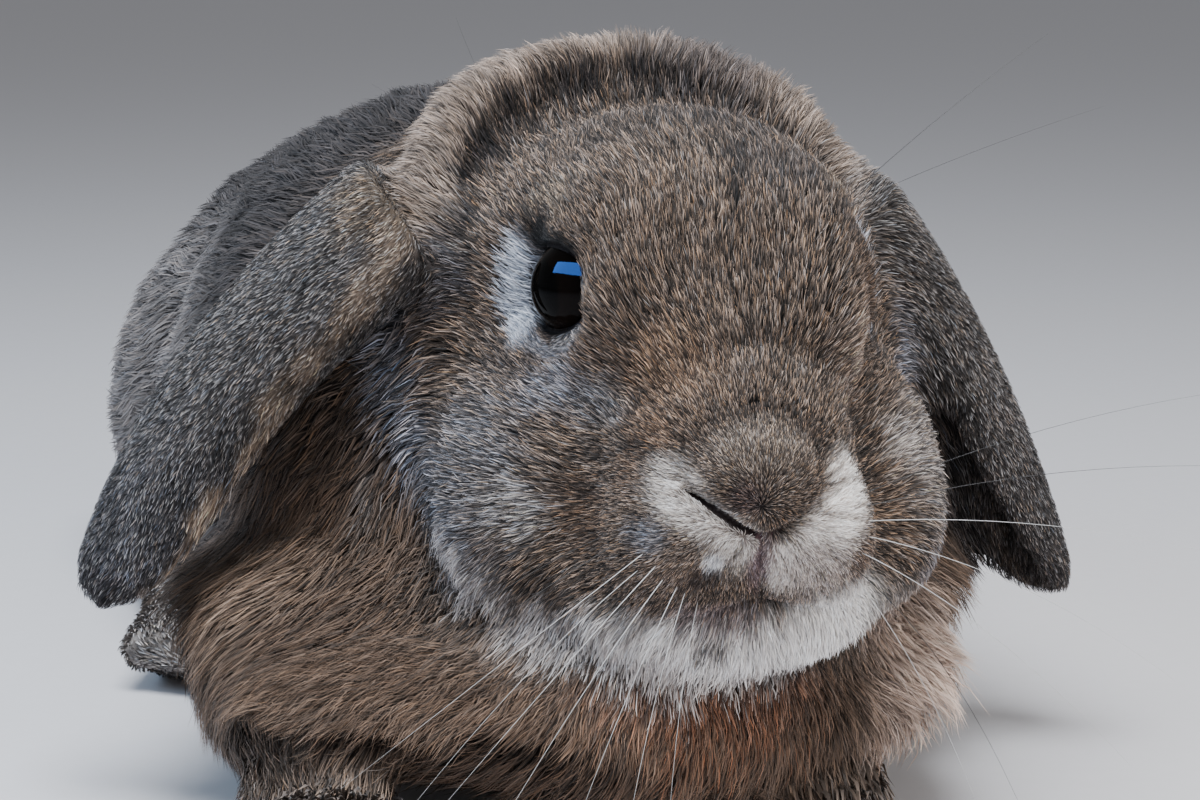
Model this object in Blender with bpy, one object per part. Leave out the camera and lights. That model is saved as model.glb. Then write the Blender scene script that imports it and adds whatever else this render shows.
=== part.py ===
"""A lop-eared rabbit lying on its chest with its forepaws out, at life size.

The body is modelled whole, as masses of named sizes that flow into each other, and is then parted
with thin cuts into head, jaw, neck, chest, trunk, rump and thighs. Ears, eyes, legs and tail are
solids of their own that the body makes room for.

Metres, +Z up, the head towards -Y. The masses are placed from a point on the floor under the middle
of the face; at the end everything moves so that the origin is at the bottom centre of the whole.
"""

import math

import bmesh
import bpy
import numpy as np
from mathutils import Euler, Matrix, Vector

MM = 0.001

# Driving sizes, in millimetres
BACK_HEIGHT = 115.0
BODY_HALF_WIDTH = 63.0
TRUNK_Y = 125.0
RUMP_Y = 200.0
THIGH_Y = 188.0
HEAD_YAW = -5.0
CROWN_HEIGHT = 127.0
EYE_RADIUS = 9.0
EYE_CENTRE = (18.0, -11.5, 92.0)
EAR_THICKNESS = 6.0
FLOOR_SINK = 4.0

# How the solids are made
CUT_GAP = 0.3
BODY_VOXEL = 2.0
LIMB_VOXEL = 1.5
BODY_TRIANGLES = 1450
FACE_DENSITY = 4200
LIMB_TRIANGLES = 160
EAR_TRIANGLES = 360
SIDES = {"right": -1, "left": 1}


def mm(*numbers):
    """Millimetres as a vector in metres."""
    return Vector(numbers) * MM


# ---- masses: what the outline flows round


def lump(centre, radii, tilt=0.0, turn=0.0, blend=10.0):
    """An ellipsoid. tilt raises its +Y end and turn swings it round Z, in degrees."""
    spin = Euler((math.radians(tilt), 0.0, math.radians(turn))).to_matrix()
    return {"centre": Vector(centre), "radii": Vector(radii), "spin": spin, "blend": blend}


def limb(start, end, start_radius, end_radius, blend=8.0):
    """A round limb that tapers from one joint to the next."""
    return {
        "start": Vector(start),
        "end": Vector(end),
        "thick": (start_radius, end_radius),
        "blend": blend,
    }


def mirrored(mass):
    """The same mass on the other side of the body."""
    flip = Matrix.Diagonal((-1, 1, 1))
    twin = dict(mass)
    for key in ("centre", "start", "end"):
        if key in mass:
            twin[key] = flip @ mass[key]
    if "spin" in mass:
        twin["spin"] = flip @ mass["spin"] @ flip
    return twin


def both(*masses):
    """Each mass and its mirror image."""
    return [m for mass in masses for m in (mass, mirrored(mass))]


def turned(masses, degrees):
    """The masses swung round the upright line through the middle of the face."""
    swing = Matrix.Rotation(math.radians(degrees), 3, "Z")
    for mass in masses:
        for key in ("centre", "start", "end"):
            if key in mass:
                mass[key] = swing @ mass[key]
        if "spin" in mass:
            mass["spin"] = swing @ mass["spin"]
    return masses


def distance(mass, points):
    """How far each point is outside one mass, in millimetres."""
    if "radii" in mass:
        local = (points - np.array(mass["centre"])) @ np.array(mass["spin"])
        radii = np.array(mass["radii"])
        near = np.linalg.norm(local / radii, axis=1)
        slope = np.linalg.norm(local / radii**2, axis=1)
        return near * (near - 1.0) / np.maximum(slope, 1e-9)
    start, end = np.array(mass["start"]), np.array(mass["end"])
    along = end - start
    share = np.clip((points - start) @ along / (along @ along), 0.0, 1.0)
    first, last = mass["thick"]
    middle = start + share[:, None] * along
    return np.linalg.norm(points - middle, axis=1) - (first + share * (last - first))


def field(masses, points):
    """Distance outside the masses as they flow together, each over its own blend width."""
    total = distance(masses[0], points)
    for mass in masses[1:]:
        other, width = distance(mass, points), mass["blend"]
        mix = np.clip(0.5 + 0.5 * (total - other) / width, 0.0, 1.0)
        total = total + mix * (other - total) - width * mix * (1.0 - mix)
    return total


def head_masses():
    """Skull, long face, muzzle, chin, cheeks and jowls."""
    masses = [
        lump((0, 14, 90), (34, 36, 28)),
        lump((0, -14, 84), (20, 38, 16), tilt=33, blend=14),
        lump((0, -31, 61), (19, 17, 17), blend=10),
        lump((0, -45, 67), (8, 7, 7), blend=7),
        lump((0, -27, 45), (25, 15, 12), blend=6),
        lump((0, 6, 54), (28, 26, 20), blend=10),
    ]
    masses += both(
        lump((10, -38, 57), (11, 10, 10), blend=6),
        lump((19.5, 1, 62), (22, 27, 20), turn=-8, blend=9),
        lump((20, -3, 51), (22, 24, 18), blend=8),
        lump((14, -12, 102), (10, 14, 8), tilt=25, blend=7),
        lump((15, -22, 88), (8, 10, 10), blend=6),
        lump((24, 26, 72), (19, 20, 26), blend=8),
    )
    return turned(masses, HEAD_YAW)


def crown_masses():
    """The ridge of long fur that arches over the head from one ear to the other."""
    half_span, rise, thickness, steps, squareness = 32, 27, 9, 10, 0.8
    spring_height = CROWN_HEIGHT - thickness - rise
    points = []
    for step in range(steps + 1):
        angle = math.pi * (step / steps - 0.5)
        sweep = math.cos(angle) ** squareness
        aside = math.copysign(abs(math.sin(angle)) ** squareness, angle) * half_span
        points.append((aside, 22 + 22 * sweep, spring_height + rise * sweep))
    return [limb(a, b, thickness, thickness, blend=4) for a, b in zip(points, points[1:])]


def trunk_masses():
    """Neck, chest with its dewlap, back, rump and thighs. The dewlap hangs more to the right."""
    back = (BACK_HEIGHT + FLOOR_SINK) / 2
    masses = [
        lump((0, 62, 86), (42, 38, 33), blend=14),
        lump((0, TRUNK_Y, back - FLOOR_SINK), (BODY_HALF_WIDTH, 95, back), blend=16),
        lump((0, RUMP_Y, 50), (BODY_HALF_WIDTH - 4, 62, 53), blend=16),
        lump((-1, 55, 57), (66, 50, 50), blend=14),
        lump((-7, 42, 32), (73, 52, 24), blend=6),
        lump((-22, 0, 27), (54, 37, 13), blend=6),
        lump((-12, -8, 24), (32, 29, 12), blend=5),
        lump((17, 5, 25), (34, 29, 13), blend=5),
        lump((-56, 26, 22), (22, 34, 17), blend=8),
    ]
    return masses + both(
        lump((41, THIGH_Y, 39), (28, 56, 38), turn=-4, blend=8),
        lump((49, THIGH_Y - 46, 32), (20, 32, 30), blend=9),
    )


def tail_masses():
    return [
        limb((0, RUMP_Y + 52, 30), (0, RUMP_Y + 64, 44), 15, 15),
        limb((0, RUMP_Y + 64, 44), (0, RUMP_Y + 60, 66), 15, 9),
    ]


def toes(tip, heading, count, spread, radius):
    """A fan of short toes at the end of a foot."""
    heading = Vector(heading).normalized()
    across = heading.cross(Vector((0, 0, 1))).normalized()
    made = []
    for number in range(count):
        place = number / (count - 1) - 0.5
        root = Vector(tip) + across * place * spread
        reach = root + heading * (11 - 14 * place * place) + across * place * spread * 0.25
        made.append(limb(root, reach, radius, radius * 0.85, blend=2))
    return made


def foreleg_masses(side):
    """Elbow, forearm and paw flat on the floor. The right lies out, the left in and further back."""
    if side == "right":
        elbow, wrist, paw = (-57, 38, 20), (-63, -6, 11), (-63, -33, 9)
    else:
        elbow, wrist, paw = (46, 54, 18), (29, 15, 10), (16, -12, 8)
    heading = Vector(paw) - Vector(wrist)
    heading.z = 0
    swing = math.degrees(math.atan2(-heading.x, heading.y)) + 180
    forearm = [limb(elbow, wrist, 14, 10)]
    return forearm, [
        limb(wrist, paw, 10, 9),
        lump(paw, (14.5, 17, 12), turn=swing, blend=8),
        *toes(Vector(paw) + heading.normalized() * 6 - Vector((0, 0, 2)), heading, 4, 17, 6.2),
    ]


def hind_foot_masses(side):
    """The long hind foot, flat beside the belly with its toes forward."""
    way = SIDES[side]
    heel, ball = Vector((way * 44, 196, 13)), Vector((way * 62, 118, 9))
    return [
        limb(heel, ball, 14, 12),
        lump((heel + ball) / 2, (14, 46, 13), turn=way * -10, blend=8),
        *toes(ball - Vector((0, 4, 0)), ball - heel, 4, 17, 6.5),
    ]


# ---- from masses to meshes


def link(mesh, name):
    obj = bpy.data.objects.new(name, mesh)
    bpy.context.scene.collection.objects.link(obj)
    return obj


def baked(obj):
    """The object with its modifiers turned into mesh."""
    graph = bpy.context.evaluated_depsgraph_get()
    mesh = bpy.data.meshes.new_from_object(obj.evaluated_get(graph))
    obj.modifiers.clear()
    obj.data = mesh
    return obj


def add_ball(bm, centre, radii, spin=None, subdivisions=3):
    placed = Matrix.Translation(Vector(centre) * MM)
    placed = placed @ (spin or Matrix.Identity(3)).to_4x4() @ Matrix.Diagonal((*radii, 1 / MM)) * MM
    placed[3][3] = 1.0
    bmesh.ops.create_icosphere(bm, subdivisions=subdivisions, radius=1.0, matrix=placed)


def rough_mesh(masses, name):
    """Overlapping balls that fill the masses: the start of a voxel mesh."""
    bm = bmesh.new()
    for mass in masses:
        if "radii" in mass:
            add_ball(bm, mass["centre"], mass["radii"], mass["spin"])
            continue
        steps = max(2, math.ceil((mass["end"] - mass["start"]).length / 4))
        for step in range(steps + 1):
            share = step / steps
            radius = mass["thick"][0] * (1 - share) + mass["thick"][1] * share
            add_ball(bm, mass["start"].lerp(mass["end"], share), (radius,) * 3, subdivisions=2)
    mesh = bpy.data.meshes.new(name)
    bm.to_mesh(mesh)
    bm.free()
    return mesh


def settle(obj, masses, outset, rounds=4):
    """Moves each vertex onto the surface that stands that far out from the masses."""
    count = len(obj.data.vertices)
    place = np.empty(count * 3)
    obj.data.vertices.foreach_get("co", place)
    place = place.reshape(-1, 3) / MM
    step = 0.05
    for _ in range(rounds):
        value = field(masses, place)
        slope = [field(masses, place + step * axis) - value for axis in np.eye(3)]
        slope = np.stack(slope, axis=1) / step
        value -= outset
        steep = np.maximum((slope**2).sum(axis=1), 0.2)
        place -= np.clip(value / steep, -4.0, 4.0)[:, None] * slope
    obj.data.vertices.foreach_set("co", (place * MM).ravel())
    obj.data.update()


def flowing_solid(masses, name, voxel, triangles, outset=0.0):
    """One closed solid round the masses, with about that many triangles."""
    obj = link(rough_mesh(masses, name), name)
    remesh = obj.modifiers.new("one_skin", "REMESH")
    remesh.mode = "VOXEL"
    remesh.voxel_size = voxel * MM
    baked(obj)
    settle(obj, masses, outset)
    smooth = obj.modifiers.new("even", "SMOOTH")
    smooth.iterations = 3
    baked(obj)
    settle(obj, masses, outset, rounds=2)
    thin_out(obj, triangles)
    return obj


def thin_out(obj, triangles, spare=None):
    """Collapses the mesh to about that many triangles, but not where spare(vertex) says so."""
    corners = sum(len(p.vertices) - 2 for p in obj.data.polygons)
    fewer = obj.modifiers.new("fewer", "DECIMATE")
    fewer.ratio = triangles / corners
    fewer.use_collapse_triangulate = True
    if spare:
        group = obj.vertex_groups.new(name="free")
        group.add([v.index for v in obj.data.vertices if not spare(v.co / MM)], 1.0, "REPLACE")
        fewer.vertex_group = group.name
    baked(obj)
    obj.vertex_groups.clear()


def on_the_face(place):
    return place.y < 12 and place.z > 34


def on_the_floor(obj):
    """Cuts off what lies under the floor, which leaves a small flat to rest on."""
    bm = bmesh.new()
    bm.from_mesh(obj.data)
    cut = bmesh.ops.bisect_plane(
        bm,
        geom=bm.verts[:] + bm.edges[:] + bm.faces[:],
        plane_co=(0, 0, 0),
        plane_no=(0, 0, 1),
        clear_inner=True,
    )
    rim = [e for e in cut["geom_cut"] if isinstance(e, bmesh.types.BMEdge)]
    bmesh.ops.contextual_create(bm, geom=rim)
    bmesh.ops.triangulate(bm, faces=bm.faces[:])
    bm.to_mesh(obj.data)
    bm.free()
    return obj


# ---- cuts


def boolean(obj, other, operation):
    cut = obj.modifiers.new("cut", "BOOLEAN")
    cut.object = other
    cut.operation = operation
    return baked(obj)


def grown(obj, gap):
    """A copy whose every face stands a gap proud of the object, to make room for it elsewhere."""
    bm = bmesh.new()
    bm.from_mesh(obj.data)
    bmesh.ops.triangulate(bm, faces=bm.faces[:])
    bm.normal_update()
    steps = []
    for vertex in bm.verts:
        normals = np.array([face.normal for face in vertex.link_faces])
        even = normals.T @ normals + 0.03 * np.eye(3)
        step = Vector(np.linalg.solve(even, normals.T @ np.full(len(normals), gap * MM)))
        steps.append(step * min(1.0, 2.5 * gap * MM / max(step.length, 1e-9)))
    for vertex, step in zip(bm.verts, steps):
        vertex.co += step
    mesh = bpy.data.meshes.new(obj.name + "_room")
    bm.to_mesh(mesh)
    bm.free()
    return hidden(link(mesh, obj.name + "_room"))


def hidden(obj):
    obj.hide_render = True
    obj.display_type = "WIRE"
    return obj


def profile(name, *points):
    """A block wider than the animal with this side outline, points being (y, z)."""
    half_width = 140
    bm = bmesh.new()
    face = bm.faces.new([bm.verts.new(mm(-half_width, y, z)) for y, z in points])
    made = bmesh.ops.extrude_face_region(bm, geom=[face])
    moved = [v for v in made["geom"] if isinstance(v, bmesh.types.BMVert)]
    bmesh.ops.translate(bm, verts=moved, vec=mm(2 * half_width, 0, 0))
    bmesh.ops.recalc_face_normals(bm, faces=bm.faces[:])
    mesh = bpy.data.meshes.new(name)
    bm.to_mesh(mesh)
    bm.free()
    return hidden(link(mesh, name))


def ball_cutter(centre, radii, name, turn=0.0):
    bm = bmesh.new()
    add_ball(bm, centre, radii, Matrix.Rotation(math.radians(turn), 3, "Z"))
    mesh = bpy.data.meshes.new(name)
    bm.to_mesh(mesh)
    bm.free()
    return hidden(link(mesh, name))


def part_off(body, cutter, name):
    """Takes what lies in the cutter from the body as a piece of its own, a thin gap away."""
    piece = link(body.data.copy(), name)
    boolean(piece, cutter, "INTERSECT")
    boolean(body, grown(cutter, CUT_GAP), "DIFFERENCE")
    return piece


# ---- ears and eyes


def bezier(start, bend, end, share):
    return start.lerp(bend, share).lerp(bend.lerp(end, share), share)


def ear_section(share, root_radius, tip_radius, rear_spread):
    """Points across the ear, as (aside, outward): a gutter that opens wider towards the rear."""
    across_steps, front, rear, ridge = 13, -95.0, 122.0, 15.0
    radius = root_radius + (tip_radius - root_radius) * share
    closing = math.sqrt(1.0 - max(0.0, (share - 0.55) / 0.45) ** 3)
    points = []
    for place in range(across_steps + 1):
        angle = front + (rear - front) * place / across_steps
        reach = radius * (1 + rear_spread * max(0.0, (angle - 35) / (rear - 35)) * closing)
        angle = math.radians(ridge + (angle - ridge) * closing)
        points.append((math.sin(angle) * reach, math.cos(angle) * reach))
    return points


def ear_solid(side, base, bend, tip, section, twist):
    """A leaf that curls round its own length and hangs from the crown beside the cheek."""
    along_steps = 18
    base, bend, tip = Vector(base), Vector(bend), Vector(tip)
    way = SIDES[side]
    bm = bmesh.new()
    rows = []
    for step in range(along_steps + 1):
        share = 0.99 * step / along_steps
        middle = bezier(base, bend, tip, share)
        heading = (bezier(base, bend, tip, share + 0.01) - middle).normalized()
        outward = Vector((0, -way, 0)).cross(heading).normalized()
        degrees = way * (twist[0] + (twist[1] - twist[0]) * share)
        outward = Matrix.Rotation(math.radians(degrees), 3, heading) @ outward
        rearward = heading.cross(outward) * -way
        row = [
            bm.verts.new((middle + rearward * aside + outward * out) * MM)
            for aside, out in ear_section(share, *section)
        ]
        rows.append(row)
    for first, second in zip(rows, rows[1:]):
        for a, b, c, d in zip(first, first[1:], second[1:], second):
            bm.faces.new((a, b, c, d))
    mesh = bpy.data.meshes.new(f"ear_{side}")
    bm.to_mesh(mesh)
    bm.free()
    ear = link(mesh, f"ear_{side}")
    leaf = ear.modifiers.new("leaf", "SOLIDIFY")
    leaf.thickness = (EAR_THICKNESS - 2.4) * MM
    leaf.offset = 0.0
    round_off = ear.modifiers.new("round_off", "REMESH")
    round_off.mode = "VOXEL"
    round_off.voxel_size = 1.2 * MM
    smooth = ear.modifiers.new("smooth", "SMOOTH")
    smooth.iterations = 4
    plump = ear.modifiers.new("plump", "DISPLACE")
    plump.strength = 1.2 * MM
    plump.mid_level = 0.0
    baked(ear)
    thin_out(ear, EAR_TRIANGLES)
    return ear


def eye_place(side):
    centre = Vector((SIDES[side] * EYE_CENTRE[0], *EYE_CENTRE[1:]))
    return Matrix.Rotation(math.radians(HEAD_YAW), 3, "Z") @ centre


def eye_opening(side):
    """Room for the eyeball and the opening of the lids in front of it."""
    way = SIDES[side]
    axis = Vector((way, -math.tan(math.radians(8)), math.tan(math.radians(6)))).normalized()
    axis = Matrix.Rotation(math.radians(HEAD_YAW), 3, "Z") @ axis
    bm = bmesh.new()
    add_ball(bm, eye_place(side), (EYE_RADIUS + 0.9,) * 3, subdivisions=2)
    ball = bpy.data.meshes.new(f"eye_room_{side}")
    bm.to_mesh(ball)
    bm.free()
    room = link(ball, f"eye_room_{side}")
    bm = bmesh.new()
    spin = axis.to_track_quat("Z", "Y").to_matrix()
    placed = Matrix.Translation((eye_place(side) + axis * 11) * MM) @ spin.to_4x4()
    bmesh.ops.create_cone(
        bm,
        cap_ends=True,
        segments=14,
        radius1=6.9 * MM,
        radius2=10 * MM,
        depth=12 * MM,
        matrix=placed,
    )
    cone = bpy.data.meshes.new("lids")
    bm.to_mesh(cone)
    bm.free()
    return hidden(boolean(room, hidden(link(cone, "lids")), "UNION"))


def groove(name, radius, *points):
    """A bent round bar along the points, to cut a slit such as a nostril with."""
    curve = bpy.data.curves.new(name, "CURVE")
    curve.dimensions = "3D"
    curve.bevel_depth = radius * MM
    curve.bevel_resolution = 1
    curve.use_fill_caps = True
    line = curve.splines.new("POLY")
    line.points.add(len(points) - 1)
    for point, place in zip(line.points, points):
        place = Matrix.Rotation(math.radians(HEAD_YAW), 3, "Z") @ Vector(place)
        point.co = (*(place * MM), 1.0)
    graph = bpy.context.evaluated_depsgraph_get()
    bar = link(curve, name + "_line")
    graph.update()
    mesh = bpy.data.meshes.new_from_object(bar.evaluated_get(graph))
    bpy.data.objects.remove(bar)
    return hidden(link(mesh, name))


def eye_solid(side):
    bm = bmesh.new()
    add_ball(bm, eye_place(side), (EYE_RADIUS,) * 3)
    mesh = bpy.data.meshes.new(f"eye_{side}")
    bm.to_mesh(mesh)
    bm.free()
    return link(mesh, f"eye_{side}")


# ---- the animal


def make_limbs():
    """Legs, feet and tail, each lying on the floor."""
    pieces = {}
    for side in SIDES:
        forearm, paw = foreleg_masses(side)
        leg = flowing_solid(forearm + paw, f"forearm_{side}", LIMB_VOXEL, 2 * LIMB_TRIANGLES)
        on_the_floor(leg)
        back, front = forearm[0]["end"].y, forearm[0]["end"].y - 90
        corners = [(back, -20), (back, 60), (front, 60), (front, -20)]
        cutter = profile(f"wrist_cut_{side}", *corners)
        pieces[f"forepaw_{side}"] = part_off(leg, cutter, f"forepaw_{side}")
        pieces[f"forearm_{side}"] = leg
        name = f"hind_foot_{side}"
        foot = flowing_solid(hind_foot_masses(side), name, LIMB_VOXEL, LIMB_TRIANGLES)
        pieces[name] = on_the_floor(foot)
    pieces["tail"] = flowing_solid(tail_masses(), "tail", LIMB_VOXEL, LIMB_TRIANGLES)
    return pieces


def make_body(limbs):
    """The whole body with room for the eyes and limbs, then parted where a person would name it."""
    front = head_masses() + crown_masses()
    body = flowing_solid(front + trunk_masses(), "trunk", BODY_VOXEL, FACE_DENSITY)
    thin_out(body, BODY_TRIANGLES, on_the_face)
    on_the_floor(body)
    whole = grown(body, CUT_GAP)
    for limb_solid in limbs:
        boolean(body, grown(limb_solid, CUT_GAP), "DIFFERENCE")
    for side, way in SIDES.items():
        boolean(body, eye_opening(side), "DIFFERENCE")
        slit = (way * 3, -53, 62), (way * 6, -51, 65), (way * 11, -46, 68)
        boolean(body, groove(f"nostril_{side}", 1.2, *slit), "DIFFERENCE")
    lip = (0, -53, 63), (0, -51, 56), (0, -48, 51)
    boolean(body, groove("philtrum", 1.0, *lip), "DIFFERENCE")
    pieces = {"trunk": body}
    head_cut = hidden(flowing_solid(front, "head_cut", 3.0, 360, outset=1.5))
    cutters = {
        "head": head_cut,
        "neck": profile("neck_cut", (-80, 58), (50, 58), (92, 75), (88, 160), (-80, 160)),
        "chest": profile("chest_cut", (-80, -20), (60, -20), (50, 60), (-80, 60)),
        "rump": profile("rump_cut", (214, 160), (214, -20), (320, -20), (320, 160)),
    }
    for side, way in SIDES.items():
        cutters[f"thigh_{side}"] = ball_cutter(
            (way * 60, THIGH_Y - 16, 40), (33, 64, 47), f"thigh_cut_{side}", way * -6
        )
    for name in ("head", "thigh_right", "thigh_left", "chest", "neck", "rump"):
        pieces[name] = part_off(body, cutters[name], name)
    jaw_cut = profile("jaw_cut", (-80, 47), (-20, 48), (8, 54), (16, 0), (-80, 0))
    pieces["lower_jaw"] = part_off(pieces["head"], jaw_cut, "lower_jaw")
    return pieces, whole


def make_ears(body_room):
    """The ears, each cut where it comes out of the fur of the crown."""
    ears = {
        "ear_right": ear_solid(
            "right", (-40, 20, 99), (-74, 28, 72), (-86, 34, 35), (9, 6.5, 0.7), (45, 38)
        ),
        "ear_left": ear_solid(
            "left", (34, 22, 98), (61, 30, 67), (72, 28, 25), (8.2, 8, 0.4), (40, -10)
        ),
    }
    for ear in ears.values():
        boolean(ear, body_room, "DIFFERENCE")
    return ears


def finish(name, base_color, roughness):
    material = bpy.data.materials.new(name)
    material.use_nodes = True
    shader = material.node_tree.nodes["Principled BSDF"]
    shader.inputs["Base Color"].default_value = (*base_color, 1)
    shader.inputs["Roughness"].default_value = roughness
    shader.inputs["Metallic"].default_value = 0.0
    return material


def material_of(name, finishes):
    for word, material in finishes.items():
        if name.startswith(word):
            return material
    return finishes["coat"]


def main():
    for obj in list(bpy.data.objects):
        bpy.data.objects.remove(obj)
    eyes = {f"eye_{side}": eye_solid(side) for side in SIDES}
    limbs = make_limbs()
    pieces, body_room = make_body(limbs.values())
    pieces.update(eyes, **limbs)
    pieces.update(make_ears(body_room))

    finishes = {
        "eye": finish("dark_eye", (0.012, 0.008, 0.006), 0.05),
        "tail": finish("tail_coat", (0.33, 0.29, 0.25), 0.9),
        "chest": finish("tan_coat", (0.21, 0.14, 0.095), 0.9),
        "ear": finish("ear_coat", (0.13, 0.115, 0.105), 0.9),
        "coat": finish("agouti_coat", (0.17, 0.135, 0.11), 0.9),
    }
    corners = np.concatenate(
        [np.array([v.co for v in obj.data.vertices], float) for obj in pieces.values()]
    )
    low, high = corners.min(axis=0), corners.max(axis=0)
    to_origin = Vector(((low[0] + high[0]) / -2, (low[1] + high[1]) / -2, -low[2]))
    for name, obj in pieces.items():
        obj.name = name
        obj.data.transform(Matrix.Translation(to_origin))
        obj.data.materials.clear()
        obj.data.materials.append(material_of(name, finishes))
        obj.data.shade_smooth()
    for obj in list(bpy.data.objects):
        if obj.hide_render:
            bpy.data.objects.remove(obj)


main()
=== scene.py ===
"""A lop-eared rabbit lying at rest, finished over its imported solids.

The flesh solids give the outline out to the tips of the coat. One skin is drawn in from them by the
depth of the coat, and carries how long the coat is there, which way it lies and how it is marked.
The eyes, claws, whiskers and the tufts of the coat are then set on that skin.

Sizes inside the functions are in millimetres. "Face" places are measured from the point on the
floor under the middle of the face: x to the animal's left, y towards its tail, z up.
"""

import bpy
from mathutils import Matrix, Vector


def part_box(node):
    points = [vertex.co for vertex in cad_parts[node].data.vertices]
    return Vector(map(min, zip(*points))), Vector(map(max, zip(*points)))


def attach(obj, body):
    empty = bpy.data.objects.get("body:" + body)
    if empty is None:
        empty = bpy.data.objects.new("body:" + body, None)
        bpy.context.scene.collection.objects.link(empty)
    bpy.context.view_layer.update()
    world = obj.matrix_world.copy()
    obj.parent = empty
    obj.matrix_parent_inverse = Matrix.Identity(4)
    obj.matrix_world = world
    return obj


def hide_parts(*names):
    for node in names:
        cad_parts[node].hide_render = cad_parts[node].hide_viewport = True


bl_info = {
    "name": "Lop-eared rabbit at rest",
    "version": (1, 0, 0),
    "blender": (4, 5, 0),
    "location": "3D View > Sidebar > Rabbit",
    "description": "Finishes a resting rabbit over its packed solids",
    "category": "Object",
}

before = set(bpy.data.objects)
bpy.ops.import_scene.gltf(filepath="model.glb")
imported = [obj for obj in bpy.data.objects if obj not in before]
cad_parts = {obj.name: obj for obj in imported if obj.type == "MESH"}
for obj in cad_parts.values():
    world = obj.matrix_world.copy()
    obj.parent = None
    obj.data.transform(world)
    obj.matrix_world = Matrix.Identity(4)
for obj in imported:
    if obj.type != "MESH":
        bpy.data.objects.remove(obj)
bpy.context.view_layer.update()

import math

import bmesh
import bpy
import numpy as np
from bpy.props import FloatProperty, FloatVectorProperty, IntProperty, PointerProperty
from mathutils import Matrix, Vector
from mathutils.bvhtree import BVHTree
from mathutils.kdtree import KDTree

MM = 0.001
SIDES = {"right": -1, "left": 1}

# The turn of the head, and how far each eye looks ahead and up, in degrees
HEAD_YAW = -5.0
EYE_TURN = {"right": 15, "left": -2}
EYE_TILT = -3.0
YAW = np.array(Matrix.Rotation(math.radians(HEAD_YAW), 3, "Z"))

# The place half way between the eyes, the eyes' radius, and how far round an eye's middle its lids
# and rings reach
EYE_MIDDLE = (0.0, -11.5, 92.0)
EYE_RADIUS = 9.0
EYE_REGION = 19.0
LID_GAP = 0.25

# Clearance from the floor of the skin and of the tufts
SKIN_OFF_FLOOR = 0.3
TUFTS_OFF_FLOOR = 0.4

# Which solids make up each area of the coat
AREAS = {
    "head": ("head", "lower_jaw"),
    "crown": (),
    "ear": ("ear_left", "ear_right"),
    "neck": ("neck",),
    "chest": ("chest",),
    "back": ("trunk", "rump"),
    "thigh": ("thigh_left", "thigh_right"),
    "leg": ("forearm_left", "forearm_right"),
    "paw": ("forepaw_left", "forepaw_right", "hind_foot_left", "hind_foot_right"),
    "tail": ("tail",),
}
AREA = {name: number for number, name in enumerate(AREAS)}

# Per area: depth of the coat off the skin and length of its tufts
COAT = {
    "head": (2.2, 3.8),
    "crown": (3.6, 6.6),
    "ear": (1.0, 1.9),
    "neck": (4.5, 7.5),
    "chest": (6.0, 10.0),
    "back": (5.0, 11.0),
    "thigh": (5.0, 11.0),
    "leg": (3.2, 6.0),
    "paw": (2.2, 4.0),
    "tail": (5.0, 9.5),
}


# ---- places


def face_origin():
    """The point on the floor under the middle of the face, in metres."""
    middle = Vector()
    for side in SIDES:
        low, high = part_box(f"eye_{side}")
        middle += (low + high) / 4
    return np.array(middle) - YAW @ np.array(EYE_MIDDLE) * MM


FACE_ORIGIN = face_origin()


def to_face(points):
    """Places in the frame, in metres, as face places in millimetres."""
    return (points - FACE_ORIGIN) / MM @ YAW


def to_frame(points):
    """Face places in millimetres as places in the frame, in metres."""
    return np.asarray(points, float) @ YAW.T * MM + FACE_ORIGIN


def to_body(points):
    """Places in the frame as millimetres from the face origin, square with the body."""
    return (points - FACE_ORIGIN) / MM


def unit(vectors):
    return vectors / np.maximum(np.linalg.norm(vectors, axis=-1, keepdims=True), 1e-9)


def ease(value, low, high):
    """0 below low, 1 above high, and smooth between them."""
    share = np.clip((value - low) / (high - low), 0.0, 1.0)
    return share * share * (3 - 2 * share)


def from_line(points, line):
    """Distance of each point from a bent line."""
    nearest = np.full(len(points), 1e9)
    line = np.asarray(line, float)
    for start, end in zip(line, line[1:]):
        along = end - start
        share = np.clip((points - start) @ along / (along @ along), 0, 1)
        gap = np.linalg.norm(points - start - share[:, None] * along, axis=1)
        nearest = np.minimum(nearest, gap)
    return nearest


def flat_gap(face, line):
    """Distance from a line as seen from in front."""
    flat = (1, 0, 1)
    return from_line(face * flat, np.array(line) * flat)


def near_line(face, line, full, end):
    """1 closer to a line than full, 0 past end."""
    return 1 - ease(from_line(face, line), full, end)


def in_egg(face, centre, reach, full, end):
    """1 inside the egg with those half widths, scaled by full, and 0 outside it scaled by end."""
    return 1 - ease(np.linalg.norm((face - centre) / reach, axis=1), full, end)


def groove(gap, width):
    """1 where the gap is 0, falling off smoothly over that width."""
    return np.exp(-((gap / width) ** 2))


def part_of(shares, *names):
    """How much each point belongs to the named areas together."""
    return shares[:, [AREA[name] for name in names]].sum(axis=1)


def ripple(points, size, seed):
    """Smooth noise from -1 to 1 that changes over about that many millimetres."""
    chance = np.random.default_rng(seed)
    total = np.zeros(len(points))
    for _ in range(7):
        way = chance.normal(size=3)
        way /= np.linalg.norm(way)
        pace = math.tau / size * chance.uniform(0.6, 1.5)
        total += np.sin(points @ way * pace + chance.uniform(0, 7))
    return np.clip(total / 3.0, -1, 1)


# ---- eyes, as the lids and the markings need them


def eye_axis(side):
    """Middle of one eyeball, in metres, and the way it looks."""
    low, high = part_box(f"eye_{side}")
    ahead = math.tan(math.radians(EYE_TURN[side]))
    axis = unit(np.array((SIDES[side], -ahead, math.tan(math.radians(EYE_TILT)))))
    return np.array((low + high) / 2), YAW @ axis


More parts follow.
